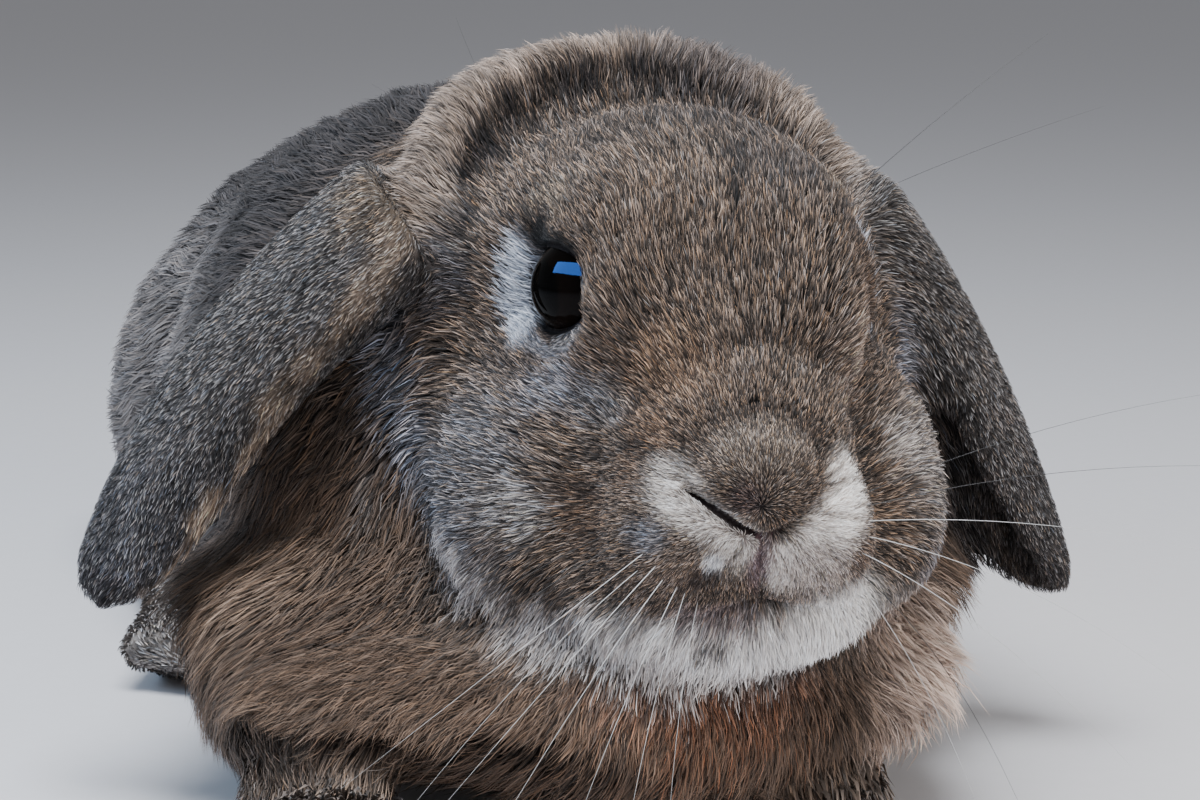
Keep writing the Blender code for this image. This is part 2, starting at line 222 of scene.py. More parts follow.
def eye_frame(side):
    """Middle, outward, forward and upward directions of one eye."""
    centre, axis = eye_axis(side)
    forward = unit(np.cross(axis, (0, 0, 1)))
    forward = forward * -np.sign(forward[1])
    upward = np.cross(forward, axis)
    return centre, axis, forward, upward * np.sign(upward[2])


# How far the opening of the lids reaches from its middle: to the front, the back, up and down
OPENING = {"right": (7.9, 8.4, 6.9, 6.0), "left": (6.0, 8.0, 6.6, 6.0)}
ROUNDNESS = 2.5


def lid_opening(angle, side):
    """How far the opening of one eye's lids reaches. Angle 0 is towards the nose."""
    front, back, up, down = OPENING[side]
    along, across = np.cos(angle), np.sin(angle)
    length = np.where(along > 0, front, back)
    height = np.where(across > 0, up, down)
    total = np.abs(along / length) ** ROUNDNESS + np.abs(across / height) ** ROUNDNESS
    return total ** (-1 / ROUNDNESS)


def around_eye(points, side):
    """How far each point lies past the edge of one eye's lids, which way round, and if near."""
    centre, axis, forward, upward = eye_frame(side)
    rel = (points - centre) / MM
    out = rel @ axis
    angle = np.arctan2(rel @ upward, rel @ forward)
    beyond = np.linalg.norm(rel - out[:, None] * axis, axis=1) - lid_opening(angle, side)
    near = (out > 0.5) & (np.linalg.norm(rel, axis=1) < EYE_REGION)
    return beyond, np.degrees(angle), near


# ---- markings


def shade(red, green, blue):
    """A colour picked on a 0 to 255 scale, as light."""
    value = np.array((red, green, blue)) / 255.0
    return np.where(value <= 0.04045, value / 12.92, ((value + 0.055) / 1.055) ** 2.4)


# Per area: the colour of the coat's tips and near the skin, each on a 0 to 255 scale
TONES = {
    "head": ((151, 130, 115), (10, 9, 9)),
    "crown": ((156, 138, 125), (45, 40, 37)),
    "ear": ((134, 128, 126), (27, 26, 28)),
    "neck": ((106, 90, 79), (26, 22, 20)),
    "chest": ((108, 87, 72), (23, 18, 15)),
    "back": ((64, 60, 60), (24, 22, 24)),
    "thigh": ((128, 122, 120), (58, 54, 55)),
    "leg": ((122, 103, 88), (48, 40, 35)),
    "paw": ((152, 134, 120), (68, 58, 52)),
    "tail": ((182, 177, 174), (84, 81, 80)),
}

# Marks of the face, chest and ruff, painted light and painted shade among them where noted: centre,
# reach, tips, near the skin, strength
MARKS = [
    ((-5, -26, 98), (16, 14, 12), (138, 118, 104), (12, 11, 11), 0.6),
    ((-10, -37.3, 82), (8, 9, 6), (182, 147, 119), (48, 38, 33), 0.7),
    ((-14, -40.4, 74.5), (5, 8, 4), (158, 126, 102), (36, 28, 24), 0.7),
    ((-16, -40.7, 68.6), (4.5, 6, 4.5), (126, 101, 84), (26, 21, 18), 0.7),
    ((-21.5, -29.6, 60.5), (8, 9, 6), (142, 114, 94), (34, 27, 24), 0.75),
    ((27, -25.6, 59), (7, 9, 6), (164, 134, 110), (44, 35, 30), 0.7),
    ((30, -21, 67), (6, 9, 6), (228, 214, 204), (108, 99, 94), 0.95),
    ((20, -28, 82), (8, 10, 9), (200, 174, 156), (52, 45, 41), 0.8),
    ((0.4, -50, 72), (9, 8, 6), (170, 154, 140), (62, 53, 49), 0.8),
    ((-2.5, -52.5, 66), (2.6, 3, 2.8), (104, 88, 86), (44, 35, 36), 0.75),
    ((-37, -11, 64), (13, 16, 16), (156, 151, 152), (32, 31, 34), 0.8),
    ((-30.9, -23.1, 60), (7, 8, 5), (198, 192, 190), (46, 43, 44), 0.75),
    ((-24, -19.4, 77), (8, 9, 5), (178, 176, 182), (44, 44, 50), 0.8),
    ((-19, -28, 76.5), (7, 8, 4), (176, 170, 168), (46, 42, 43), 0.65),
    ((34, -14, 62), (10, 12, 13), (196, 185, 178), (66, 60, 59), 0.8),
    ((-10, -47, 56), (8, 8, 5), (176, 156, 142), (66, 56, 51), 0.7),
    ((9, -47, 55), (7, 9, 5.5), (214, 200, 192), (112, 100, 95), 0.85),
    ((18.5, -43.6, 54), (5, 7, 4), (168, 142, 124), (62, 50, 45), 0.6),
    ((0.8, -49, 55.5), (2.2, 6, 5.5), (148, 124, 128), (96, 77, 81), 0.9),
    ((-4, -37, 41), (30, 15, 7), (250, 245, 241), (206, 199, 195), 1.0),
    ((15, -38, 45), (11, 12, 7), (255, 251, 247), (222, 215, 210), 1.0),
    ((-31, -27, 41), (13, 12, 5.5), (228, 222, 219), (156, 149, 147), 1.0),
    ((28, -27, 42), (10, 12, 6), (206, 198, 193), (100, 95, 92), 0.7),
    ((-4.2, -41.5, 42.5), (3, 5, 2.6), (82, 76, 75), (46, 42, 42), 0.85),
    # painted shade under the lip, on the right
    ((-5, -44, 47.4), (8, 5, 2.4), (142, 124, 124), (80, 68, 70), 0.7),
    ((-15.6, -46.4, 60), (3.4, 5, 3), (140, 142, 150), (66, 67, 73), 0.75),
    ((-6.5, -48.8, 56.2), (1.7, 4, 2.1), (240, 240, 242), (190, 190, 194), 0.9),
    ((-7.8, -48.1, 53.8), (3, 4, 1.6), (66, 54, 50), (36, 29, 27), 0.8),
    ((-19.9, -29.8, 68.2), (3.6, 5, 1.5), (56, 45, 39), (26, 22, 20), 0.9),
    ((-15.7, -39.3, 71.3), (2.8, 5, 1.4), (56, 45, 39), (26, 22, 20), 0.85),
    ((-21.3, -29.1, 63.5), (2.8, 5, 1.5), (64, 51, 44), (28, 24, 22), 0.85),
    ((-28.4, -26.1, 48.0), (6, 7, 3.6), (62, 53, 47), (28, 24, 23), 0.8),
    ((-36, -19, 51), (5, 8, 4), (92, 84, 82), (32, 29, 30), 0.6),
    ((8, 6, 116), (16, 12, 7), (62, 56, 57), (14, 13, 15), 0.8),
    ((5.7, -12.2, 111.2), (2.2, 6, 4.5), (24, 21, 22), (10, 9, 10), 1.0),
    ((3.9, -17.8, 107.1), (1.7, 5, 4), (30, 26, 26), (12, 11, 11), 0.95),
    ((14, -13, 110), (10, 12, 8), (96, 86, 82), (18, 16, 17), 0.75),
    ((-10, 4, 114), (24, 14, 7), (118, 104, 95), (17, 15, 15), 0.85),
    # painted shade: the dark of the crown's crease, widened in front of it
    ((5, 24, 119.5), (21, 11, 6), (40, 38, 43), (11, 10, 12), 0.9),
    ((-18, 19, 114), (10, 7, 6), (74, 66, 62), (14, 12, 12), 0.7),
    ((-36, 10, 91), (5, 6, 8), (120, 118, 124), (38, 37, 41), 0.75),
    ((-33, 16, 102), (4, 5, 5), (130, 124, 122), (40, 37, 38), 0.6),
    ((22, -19, 101), (3.4, 5, 7), (84, 75, 72), (26, 23, 23), 0.6),
    # painted light: the left side of the chest, lit paler
    ((42, -6, 30), (20, 26, 16), (236, 210, 194), (150, 128, 115), 0.95),
    ((-67, 18, 44), (14, 14, 14), (166, 140, 120), (60, 49, 42), 0.75),
    # painted shade under the front of the chest, where it hangs over the forepaws
    ((-27, -38, 22), (22, 14, 9), (80, 62, 50), (19, 15, 12), 0.75),
]

# Pale fur that follows each nostril: its line, the distances from it where the fur is fully pale
# and where that ends, tips, near the skin, strength
PALE_LINES = [
    (
        ((-12.4, -44.5, 67.6), (-10.4, -46.5, 65.2), (-5.6, -49, 60.9), (-2.6, -50, 57.6)),
        (0.4, 5.8), (255, 250, 244), (190, 178, 170), 1.0,
    ),
    (
        ((15.0, -43, 66.2), (13, -45, 62.4), (9, -47, 58.5), (5, -48.5, 55.6)),
        (0.8, 7.0), (255, 251, 246), (208, 196, 188), 1.05,
    ),
]

# Folds over the nose, darkened by darker hair tips and painted shade, and the pale hem of the jaw
FOLDS = [
    ((-13.2, -38.3, 77.8), (-6.5, -38.3, 83), (2.4, -37, 85.6), (11, -35.3, 83.6), (17, -30, 79.5)),
    ((-10, -46, 68), (-9, -46, 72), (-6, -46.5, 75), (-3, -46.2, 76.6), (1, -46, 77.2)),
    ((1, -46, 77.2), (5.4, -45.6, 76.2), (8.4, -45.8, 73.9), (10.5, -46, 70)),
]
JAW_HEM = (
    (-51, 14, 55), (-47.5, 3, 51.5), (-43.5, -5, 48.5), (-38.5, -15, 45.5), (-34, -26, 43),
    (-29.5, -31, 40.5), (-24, -34, 38.5), (-12, -37, 36),
)

# Marks round each eye, given for the right one
EYE_MARKS = [
    ((-25, -10, 105), (6, 10, 4), (176, 155, 134), (60, 50, 43), 0.8),
    ((-19.5, -15.7, 108.9), (3.5, 4, 4), (70, 61, 56), (30, 26, 25), 0.65),
    ((-33, 7, 95), (4, 5, 4.5), (70, 66, 68), (28, 27, 29), 0.7),
    ((-29.8, -7.4, 79.5), (6, 8, 1.6), (84, 77, 76), (30, 27, 28), 0.65),
]

# Rings round each eye: which way it is strongest (0 towards the nose, 90 up) and how far round it
# goes, where it starts and ends past the edge of the lids, tips, near the skin, strength
EYE_RINGS = [
    (-90, 70, 2.0, 5.0, (176, 175, 181), (76, 75, 80), 0.8),
    (194, 54, 0.6, 6.6, (206, 209, 218), (138, 141, 150), 1.0),
    (-35, 50, 0.4, 3.4, (192, 188, 188), (88, 86, 87), 0.8),
    (96, 66, -3.0, 1.5, (20, 18, 19), (10, 9, 10), 0.97),
    (-80, 75, -3.0, 1.2, (44, 42, 47), (20, 19, 22), 0.85),
    (90, 400, -9.0, 0.7, (24, 21, 22), (12, 11, 12), 0.95),
]

# The dark line over the right eye
LASHES = (
    (-31.5, 5, 100), (-30.2, 2.1, 99.2), (-28, -3.5, 99), (-25.5, -7.6, 98.6), (-24, -12, 98.4),
    (-23, -17, 97.5), (-22.4, -20.5, 95.5),
)

# The blue-grey band where the cheek meets the neck on each side
BANDS = [
    ((-46, 19, 84), (-44.7, 12, 71), (-43, 2, 60), (-40, -12, 50)),
    ((41, 20, 80), (42, 10, 66), (41, 0, 54), (37, -12, 46)),
]

# The paler hem along the front edge of the right ear, and the stripe inside the left one
EAR_HEM = ((-45, 6, 96), (-60, 9, 76), (-71, 14, 57), (-76, 15, 50), (-83, 18, 38), (-88, 21, 31))
EAR_STRIPE = ((58, 38, 54), (65, 40.5, 40), (69, 40, 33), (72, 38, 26))

# The crease in front of the crown, from the right ear over the head to the left one
CREASE = (
    (-40, 4, 90), (-38.5, 9, 95), (-35.6, 16.8, 103), (-25.9, 25.8, 113.5), (-12.9, 31.8, 119.6),
    (1.3, 34.4, 122), (16.6, 32.8, 118.5), (29, 24, 110), (37, 13, 98),
)

# Tips and near the skin, for the marks that markings() places by area
COLOURS = {
    "head top": ((84, 77, 77), (30, 28, 30)),
    # painted shade of the crease in front of the crown
    "crease": ((34, 31, 36), (12, 11, 13)),
    "band": ((162, 165, 177), (58, 61, 70)),
    "rust": ((168, 104, 68), (64, 37, 26)),
    # painted shade along the chest's lower edge near the floor
    "low chest shade": ((112, 92, 78), (34, 28, 25)),
    "hind foot": ((186, 180, 176), (104, 98, 95)),
    "belly": ((176, 170, 168), (96, 92, 92)),
    "low ear": ((92, 91, 99), (22, 23, 28)),
    "left ear": ((128, 117, 109), (32, 28, 27)),
    "ear tip": ((56, 51, 54), (24, 22, 24)),
    "ruff": ((166, 146, 126), (56, 47, 42)),
    # darker hair tips and painted shade along the folds over the nose
    "fold": ((84, 69, 60), (18, 15, 14)),
    "jaw hem": ((228, 219, 214), (146, 137, 134)),
    "lashes": ((18, 16, 17), (9, 8, 9)),
    "ear hem": ((202, 180, 158), (104, 88, 76)),
    "ear stripe": ((170, 156, 146), (70, 60, 56)),
}

# Where the hairs of the face spread out from
NOSE = (0, -56, 64)


def paint(tones, strength, tip, root):
    """Mixes a mark into the colours of the tips and of the coat near the skin."""
    share = np.clip(strength, 0, 1)[:, None]
    tones[0] += (shade(*tip) - tones[0]) * share
    tones[1] += (shade(*root) - tones[1]) * share


def streaks(face):
    """Noise that runs in thin lines away from the nose, as the hairs of the face do."""
    off = face - NOSE
    far = np.linalg.norm(off, axis=1)
    turn = np.arctan2(off[:, 2], off[:, 0])
    lines = np.stack([np.cos(turn) * 60, np.sin(turn) * 60, far * 0.25], axis=1)
    return 0.55 * ripple(lines, 6, 31) + 0.45 * ripple(lines, 2.6, 32)


def markings(points, shares):
    """Colours of the coat's tips and of the coat near the skin, from place and area."""
    body = to_body(points)
    face = to_face(points)
    tones = [shares @ np.array([shade(*TONES[name][end]) for name in AREAS]) for end in (0, 1)]
    head = part_of(shares, "head", "crown")

    # the marks' edges wander a little, and on the face they run in lines away from the nose
    wander = [ripple(body, 11, seed) + 0.7 * ripple(body, 4.5, seed + 3) for seed in (21, 22, 23)]
    face = face + np.stack(wander, axis=1) * (0.3 + 0.9 * ease(face[:, 1], -44, -20))[:, None]
    line = streaks(face)
    off = face - NOSE
    slide = 0.8 + 1.8 * ease(np.linalg.norm(off, axis=1), 10, 45)
    face = face + unit(off) * (line * head * slide)[:, None]

    mark_body(tones, body, face, shares)
    mark_face(tones, face, shares, line)
    for side in SIDES:
        mark_eye(tones, points, face, side)
    ear = part_of(shares, "ear")
    hem = ear * near_line(face, EAR_HEM, 1.2, 4.6) * (1 - 0.4 * ease(face[:, 2], 60, 80))
    paint(tones, hem, *COLOURS["ear hem"])
    paint(tones, ear * near_line(face, EAR_STRIPE, 0.8, 3.0) * 0.7, *COLOURS["ear stripe"])

    patchy = ripple(body, 7, 3) + 0.8 * ripple(body, 3.2, 5)
    mottle = 1 + (0.13 + 0.16 * ear) * patchy + 0.24 * head * line
    mottle += 0.3 * ear * ripple(body, 1.7, 9)
    mottle += 0.3 * part_of(shares, "crown") * ripple(body, 9, 13)
    mottle = np.clip(mottle, 0.35, 2)[:, None]
    return tones[0] * mottle, tones[1] * mottle


def mark_body(tones, body, face, shares):
    """The painted shade of the crown's crease, the neck's bands, the chest with painted shade along
    its foot, belly, hind feet and ears.
    """
    head = part_of(shares, "head", "crown")
    ear, chest = part_of(shares, "ear"), part_of(shares, "chest")
    top = head * ease(face[:, 0], -6, 9) * ease(face[:, 2], 108, 118) * ease(face[:, 1], 16, 34)
    paint(tones, top * 0.75 * (1 - ease(face[:, 0], 15, 28)), *COLOURS["head top"])
    # painted shade in the crease in front of the crown, kept off the crown behind it
    behind = 3 * part_of(shares, "crown")
    crease = 1 - ease(from_line(face, CREASE) + behind, 3.0, 8.0)
    paint(tones, head * crease * 0.95, *COLOURS["crease"])
    for band in BANDS:
        paint(tones, near_line(face, band, 2, 9) * 0.8 * (1 - ear), *COLOURS["band"])

    # rust under the chin, and painted shade darkening the chest's lower edge near the floor
    rust = in_egg(face, (-2, -31, 34), (20, 18, 6.2), 0.2, 1.4)
    paint(tones, chest * rust * 0.8, *COLOURS["rust"])
    paint(tones, chest * (1 - ease(body[:, 2], 4, 20)) * 0.5, *COLOURS["low chest shade"])

    # hind feet and belly are paler, the lower half and the tip of the right ear darker
    hind = part_of(shares, "paw") * ease(body[:, 1], 50, 80)
    paint(tones, hind * 0.8, *COLOURS["hind foot"])
    low = part_of(shares, "back", "thigh") * (1 - ease(body[:, 2], 4, 16))
    paint(tones, low * 0.6, *COLOURS["belly"])
    paint(tones, ear * (1 - ease(face[:, 2], 48, 78)) * 0.6, *COLOURS["low ear"])
    paint(tones, ear * (face[:, 0] > 0) * 0.6, *COLOURS["left ear"])
    ear_tip = in_egg(face, (-94, 24, 38), (9, 14, 8), 0.5, 1.1)
    paint(tones, ear * ear_tip * 0.8, *COLOURS["ear tip"])
    ruff = in_egg(face, (-48, 9, 104), (11, 10, 8), 0.5, 1.2)
    paint(tones, ruff * 0.85, *COLOURS["ruff"])


def mark_face(tones, face, shares, line):
    """The folds of the nose with their darker hair tips and painted shade, the pale fur round it,
    every single mark and the hem of the jaw.
    """
    head = part_of(shares, "head", "crown")
    ear = part_of(shares, "ear")
    # darker hair tips and painted shade along each fold over the nose
    for fold in FOLDS:
        near = (1 - ease(flat_gap(face, fold), 0.3, 1.8)) * (face[:, 1] < -22)
        paint(tones, head * near * 0.5, *COLOURS["fold"])
    for path, (full, end), tip, root, strength in PALE_LINES:
        near = near_line(face, path, full, end)
        paint(tones, head * near * strength * (1 + 0.7 * line), tip, root)
    mirrored = [((-x, y, z), *rest) for (x, y, z), *rest in EYE_MARKS]
    for centre, reach, tip, root, strength in MARKS + EYE_MARKS + mirrored:
        near = in_egg(face, centre, reach, 0.35, 1.3)
        paint(tones, near * strength * (1 - ear), tip, root)
    paint(tones, near_line(face, JAW_HEM, 2.4, 7.6) * (1 - ear), *COLOURS["jaw hem"])


def mark_eye(tones, points, face, side):
    """The dark lid line and the pale rings round one eye."""
    if side == "right":
        paint(tones, near_line(face, LASHES, 1.5, 3.1) * 0.97, *COLOURS["lashes"])
    past, turn, near = around_eye(points, side)
    for middle, span, start, end, tip, root, strength in EYE_RINGS:
        # the left eye's lower rings would show as a pale slit along the outline of the head
        if side == "left" and middle < 0:
            continue
        off = np.abs((turn - middle + 180) % 360 - 180)
        ring = near * (1 - ease(off, 0.55 * span, span)) * ease(past, start - 0.4, start + 0.6)
        paint(tones, ring * (1 - ease(past, end - 1.2, end + 0.6)) * strength, tip, root)


# ---- the skin as a mesh


def new_object(name, mesh):
    obj = bpy.data.objects.new(name, mesh)
    bpy.context.scene.collection.objects.link(obj)
    return obj


def fetch(source, key, width, kind=np.float32):
    """One number or vector of every element, as an array."""
    values = np.empty(len(source) * width, kind)
    source.foreach_get(key, values)
    return values.reshape(-1, width) if width > 1 else values


def triangles_of(mesh):
    mesh.calc_loop_triangles()
    return fetch(mesh.loop_triangles, "vertices", 3, np.int32)


def vertex_normals(points, triangles):
    corner = points[triangles]
    face = np.cross(corner[:, 1] - corner[:, 0], corner[:, 2] - corner[:, 0])
    total = np.zeros_like(points)
    for axis in range(3):
        for turn in range(3):
            total[:, axis] += np.bincount(triangles[:, turn], face[:, axis], len(points))
    return unit(total)


class MeshLinks:
    """Averages over the neighbours of each vertex."""

    def __init__(self, triangles, count):
        pairs = np.concatenate([triangles[:, (0, 1)], triangles[:, (1, 2)], triangles[:, (2, 0)]])
        self.source = np.concatenate([pairs[:, 0], pairs[:, 1]])
        self.target = np.concatenate([pairs[:, 1], pairs[:, 0]])
        self.count = count
        self.links = np.maximum(np.bincount(self.target, minlength=count), 1)

    def average(self, values):
        if values.ndim == 1:
            return np.bincount(self.target, values[self.source], self.count) / self.links
        columns = [self.average(values[:, column]) for column in range(values.shape[1])]
        return np.stack(columns, axis=1)

    def smooth(self, values, rounds, amount=1.0):
        for _ in range(rounds):
            values = values + (self.average(values) - values) * amount
        return values


def joined_solids():
    """Every solid in one mesh, each swelled a little so that the thin gaps close."""
    whole = bmesh.new()
    for name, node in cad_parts.items():
        solid = bmesh.new()
        solid.from_mesh(node.data)
        bmesh.ops.remove_doubles(solid, verts=solid.verts[:], dist=1e-5)
        solid.normal_update()
        by = (EYE_SWELL if name.startswith("eye") else SWELL) * MM
        for vertex in solid.verts:
            vertex.co += vertex.normal * by
        mesh = bpy.data.meshes.new("part_of_skin")
        solid.to_mesh(mesh)
        solid.free()
        whole.from_mesh(mesh)
        bpy.data.meshes.remove(mesh)
    mesh = bpy.data.meshes.new("skin")
    whole.to_mesh(mesh)
    whole.free()
    return new_object("skin", mesh)


def baked(obj):
    """The object with its modifiers turned into mesh."""
    graph = bpy.context.evaluated_depsgraph_get()
    mesh = bpy.data.meshes.new_from_object(obj.evaluated_get(graph))
    obj.modifiers.clear()
    old, obj.data = obj.data, mesh
    bpy.data.meshes.remove(old)
    return obj


def keep_outer_shell(bm):
    """Drops every loose pocket and keeps the largest connected surface."""
    unseen = set(bm.verts)
    largest = set()
    while unseen:
        island, edge = set(), [unseen.pop()]
        island.update(edge)
        while edge:
            vertex = edge.pop()
            for link in vertex.link_edges:
                other = link.other_vert(vertex)
                if other not in island:
                    island.add(other)
                    edge.append(other)
        unseen -= island
        if len(island) > len(largest):
            largest = island
    bmesh.ops.delete(bm, geom=[v for v in bm.verts if v not in largest], context="VERTS")


def refine(bm, wanted):
    """Splits every edge whose middle is wanted into two."""
    middles = np.array([(edge.verts[0].co + edge.verts[1].co) / 2 for edge in bm.edges])
    chosen = [edge for edge, pick in zip(bm.edges[:], wanted(to_face(middles))) if pick]
    bmesh.ops.subdivide_edges(bm, edges=chosen, cuts=1, use_grid_fill=True)
    bmesh.ops.triangulate(bm, faces=[face for face in bm.faces if len(face.verts) > 3])


def fine_places(face, reach):
    """True near the eyes, the nose and the mouth, where the skin needs small facets."""
    folded = face.copy()
    folded[:, 0] = np.abs(folded[:, 0])
    eyes = np.linalg.norm(folded - (23, -11.5, 92), axis=1) < 13 * reach
    nose = np.linalg.norm(folded - (4, -50, 60), axis=1) < 14 * reach
    return eyes | nose


def lid_edges(face):
    """True along the edges of the lids."""
    found = np.zeros(len(face), bool)
    for side in SIDES:
        past, _, near = around_eye(to_frame(face), side)
        found |= near & (np.abs(past) < 1.1)
    return found


# Rounds of smoothing for the borders between areas: on the head and ears, and on the body
SHARP_BORDER, WIDE_BORDER = 14, 36


def area_shares(points, links):
    """How much each vertex belongs to each area, softened over the borders."""
    owners, corners, faces = [], [], []
    for name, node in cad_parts.items():
        if name.startswith("eye"):
            continue
        area = next(area for area, solids in AREAS.items() if name in solids)
        triangles = triangles_of(node.data)
        faces.append(triangles + sum(len(part) for part in corners))
        corners.append(fetch(node.data.vertices, "co", 3))
        owners += [AREA[area]] * len(triangles)
    tree = BVHTree.FromPolygons(np.concatenate(corners).tolist(), np.concatenate(faces).tolist())
    nearest = [owners[tree.find_nearest(point)[2]] for point in points.tolist()]
    shares = links.smooth(np.eye(len(AREAS))[nearest], SHARP_BORDER)
    wide = links.smooth(shares, WIDE_BORDER)
    sharp = ease(part_of(wide, "head", "ear"), 0.01, 0.15)[:, None]
    shares = wide + (shares - wide) * sharp

    # the crown is the part of the head behind its crease
    face = to_face(points)
    ridge = 22 + 22 * np.sqrt(np.clip(1 - (face[:, 0] / 34) ** 2, 0, 1))
    crown = ease(face[:, 1] - ridge, -12, -5) * ease(face[:, 2], 84, 96)
    moved = shares[:, AREA["head"]] * crown
    shares[:, AREA["head"]] -= moved
    shares[:, AREA["crown"]] += moved
    return shares / shares.sum(axis=1, keepdims=True)


def muzzle_fineness(face):
    """1 far from the nose and eyes, less where the coat grows short near them."""
    from_nose = np.linalg.norm(face - (0, -50, 63), axis=1)
    fineness = 0.30 + 0.70 * ease(from_nose, 4, 42)
    for side in SIDES.values():
        from_eye = np.linalg.norm(face - (side * 24, -11.5, 92), axis=1)
        fineness = np.minimum(fineness, 0.42 + 0.58 * ease(from_eye, 8, 20))
    return fineness


def coat_sizes(points, shares):
    """Depth and length of the coat at each point, in millimetres."""
    depth, length = (shares @ np.array([COAT[name][i] for name in AREAS]) for i in (0, 1))
    face = to_face(points)
    head = part_of(shares, "head")
    fineness = 1 + (muzzle_fineness(face) - 1) * head
    cheek = ease(face[:, 1], -24, 6) * head
    length = length * fineness * (1 + 0.45 * cheek)
    depth = depth * fineness * (1 + 0.5 * cheek)

    # longer under the chin, along the front of the ears and at the foot of the chest
    chin = head * in_egg(face, (0, -34, 40), (30, 18, 9), 0.6, 1.2)
    length = length + chin * 2.6
    hem = near_line(face, EAR_HEM, 0.5, 3.0) * (1 - ease(face[:, 2], 56, 74))
    length = length + part_of(shares, "ear") * hem * 3.0
    low_chest = part_of(shares, "chest") * (1 - ease(face[:, 2], 14, 30))
    length = length + low_chest * (1 - ease(face[:, 1], -12, 10)) * 9.0
    on_floor = ease(points[:, 2] / MM, 0.5, 14)
    return depth * (0.25 + 0.75 * on_floor), length * (0.5 + 0.5 * on_floor)


# ---- which way the coat lies


# The line of each ear: its root, its bend and its tip
EAR_LINES = {
    "right": ((-40, 20, 99), (-74, 28, 72), (-86, 34, 35)),
    "left": ((34, 22, 98), (61, 30, 67), (72, 28, 25)),
}


def lay_of_coat(points, normals, shares, links):
    """The way the tufts point along the skin, as unit vectors square with the body."""
    body, face = to_body(points), to_face(points)
    side = np.clip(body[:, 0] / 50, -1, 1)
    still = np.zeros(len(points))

    def way(x, y, z):
        return unit(np.stack([still + x, still + y, still + z], axis=1))

    from_nose = unit(face - (0, -60, 64))
    from_nose[:, 2] -= 0.75 * (1 - ease(face[:, 2], 44, 60))
    crown = unit(face - (0, 6, 78)) + (0.0, 0.8, 0.0)
    crown[:, 0] += 0.9 * np.clip(face[:, 0] / 14, -1, 1)
    ears = np.zeros_like(points)
    for name, (base, bend, tip) in EAR_LINES.items():
        base, bend, tip = (np.array(place, float) for place in (base, bend, tip))
        down = ease(body[:, 2], tip[2] + 10, base[2] - 8)[:, None]
        heading = unit(bend - base) * down + unit(tip - bend) * (1 - down)
        ears += heading * (np.sign(body[:, :1]) == SIDES[name])
    lays = {
        "head": unit(from_nose) @ YAW.T,
        "crown": unit(crown) @ YAW.T,
        "ear": ears,
        "neck": way(0.45 * side, 0.5, -0.75),
        "chest": way(0.75 * np.clip((body[:, 0] + 2) / 50, -1, 1), -0.3, -1.0),
        "back": way(0.15 * side, 1.0, -0.3 * np.abs(side)),
        "thigh": way(0.1 * side, 0.85, -0.45),
        "leg": way(0, -0.95, -0.25),
        "paw": way(0, -1, -0.12),
        "tail": way(0, 0.3, 1),
    }
    lay = sum(shares[:, [AREA[name]]] * lays[name] for name in AREAS)
    for _ in range(3):
        lay = links.smooth(lay, 4)
        lay = unit(lay - normals * (lay * normals).sum(axis=1, keepdims=True))

    # the coat parts round each eye
    for name in SIDES:
        centre, axis = eye_axis(name)
        off = (points - centre) / MM
        off -= axis * (off @ axis)[:, None]
        reach = np.linalg.norm(off, axis=1)
        outward = unit(off)
        toward = np.minimum((lay * outward).sum(axis=1), 0)
        near = 1 - ease(reach, EYE_RADIUS, EYE_RADIUS + 5)
        near[np.linalg.norm(points - centre, axis=1) > 20 * MM] = 0
        lay = unit(lay - outward * (toward * near * 1.15)[:, None])
    return lay


# ---- lids, nose and mouth


# The rounded edge of a lid: how near a vertex is drawn onto it, how high it stands, how steeply the
# skin dips under it, and how far past it the skin is back in its own place
LID_CATCH = 0.26
LID_RISE = 0.95
LID_DIP = 3.2
LID_FADE = (1.0, 7.5)


def shape_lids(points, side):
    """Draws the skin round the eyeball into an upper and a lower lid with a rounded edge."""
    centre, axis, forward, upward = eye_frame(side)
    rel = (points - centre) / MM
    reach = np.linalg.norm(rel, axis=1)
    out = rel @ axis
    near = (reach < EYE_REGION) & (out > 0.5)
    rel, reach, out = rel[near], reach[near], out[near]
    angle = np.arctan2(rel @ upward, rel @ forward)
    ring = EYE_RADIUS * np.sin(np.arccos(np.clip(out / reach, -1, 1)))
    opening = lid_opening(angle, side)
    past = ring - opening

    # bring the facets' corners onto the edge of the opening
    on_edge = np.abs(past) < LID_CATCH
    ring = np.where(on_edge, opening, ring)
    past = np.where(on_edge, 0.0, past)
    lean = np.arcsin(np.clip(ring / EYE_RADIUS, 0, 1))
    lean = np.where(out / reach < math.cos(1.5), np.arccos(np.clip(out / reach, -1, 1)), lean)
    aside = unit(rel - out[:, None] * axis)
    heading = axis * np.cos(lean)[:, None] + aside * np.sin(lean)[:, None]

    beyond = np.maximum(np.linalg.norm(rel - out[:, None] * axis, axis=1) - opening, 0)
    lid = EYE_RADIUS + LID_GAP + LID_RISE * ease(past, 0.0, 1.0)
    inside = np.maximum(EYE_RADIUS + LID_GAP + past * LID_DIP, EYE_RADIUS - 2.2)
    hold = 1 - ease(beyond, *LID_FADE)
    length = np.where(past <= 0, inside, reach + (lid - reach) * hold)
    moved = points.copy()
    moved[near] = centre + heading * length[:, None] * MM
    return moved


# Each nostril: its line, how deep it is sunk, which also sets how dark its painted shade is, and
# half the width left bare
RIGHT_NOSTRIL = ((-0.6, -51, 60.2), (-3.0, -51, 61.3), (-6.2, -51, 63.6), (-10.0, -47, 66.4))
LEFT_NOSTRIL = (
    (0.6, -51, 60.2), (2.4, -51, 60.8), (5.8, -51, 62.3), (9.5, -49, 64.0), (14, -45, 65.7)
)
NOSTRILS = ((RIGHT_NOSTRIL, 2.8, 0.75), (LEFT_NOSTRIL, 1.1, 0.2))

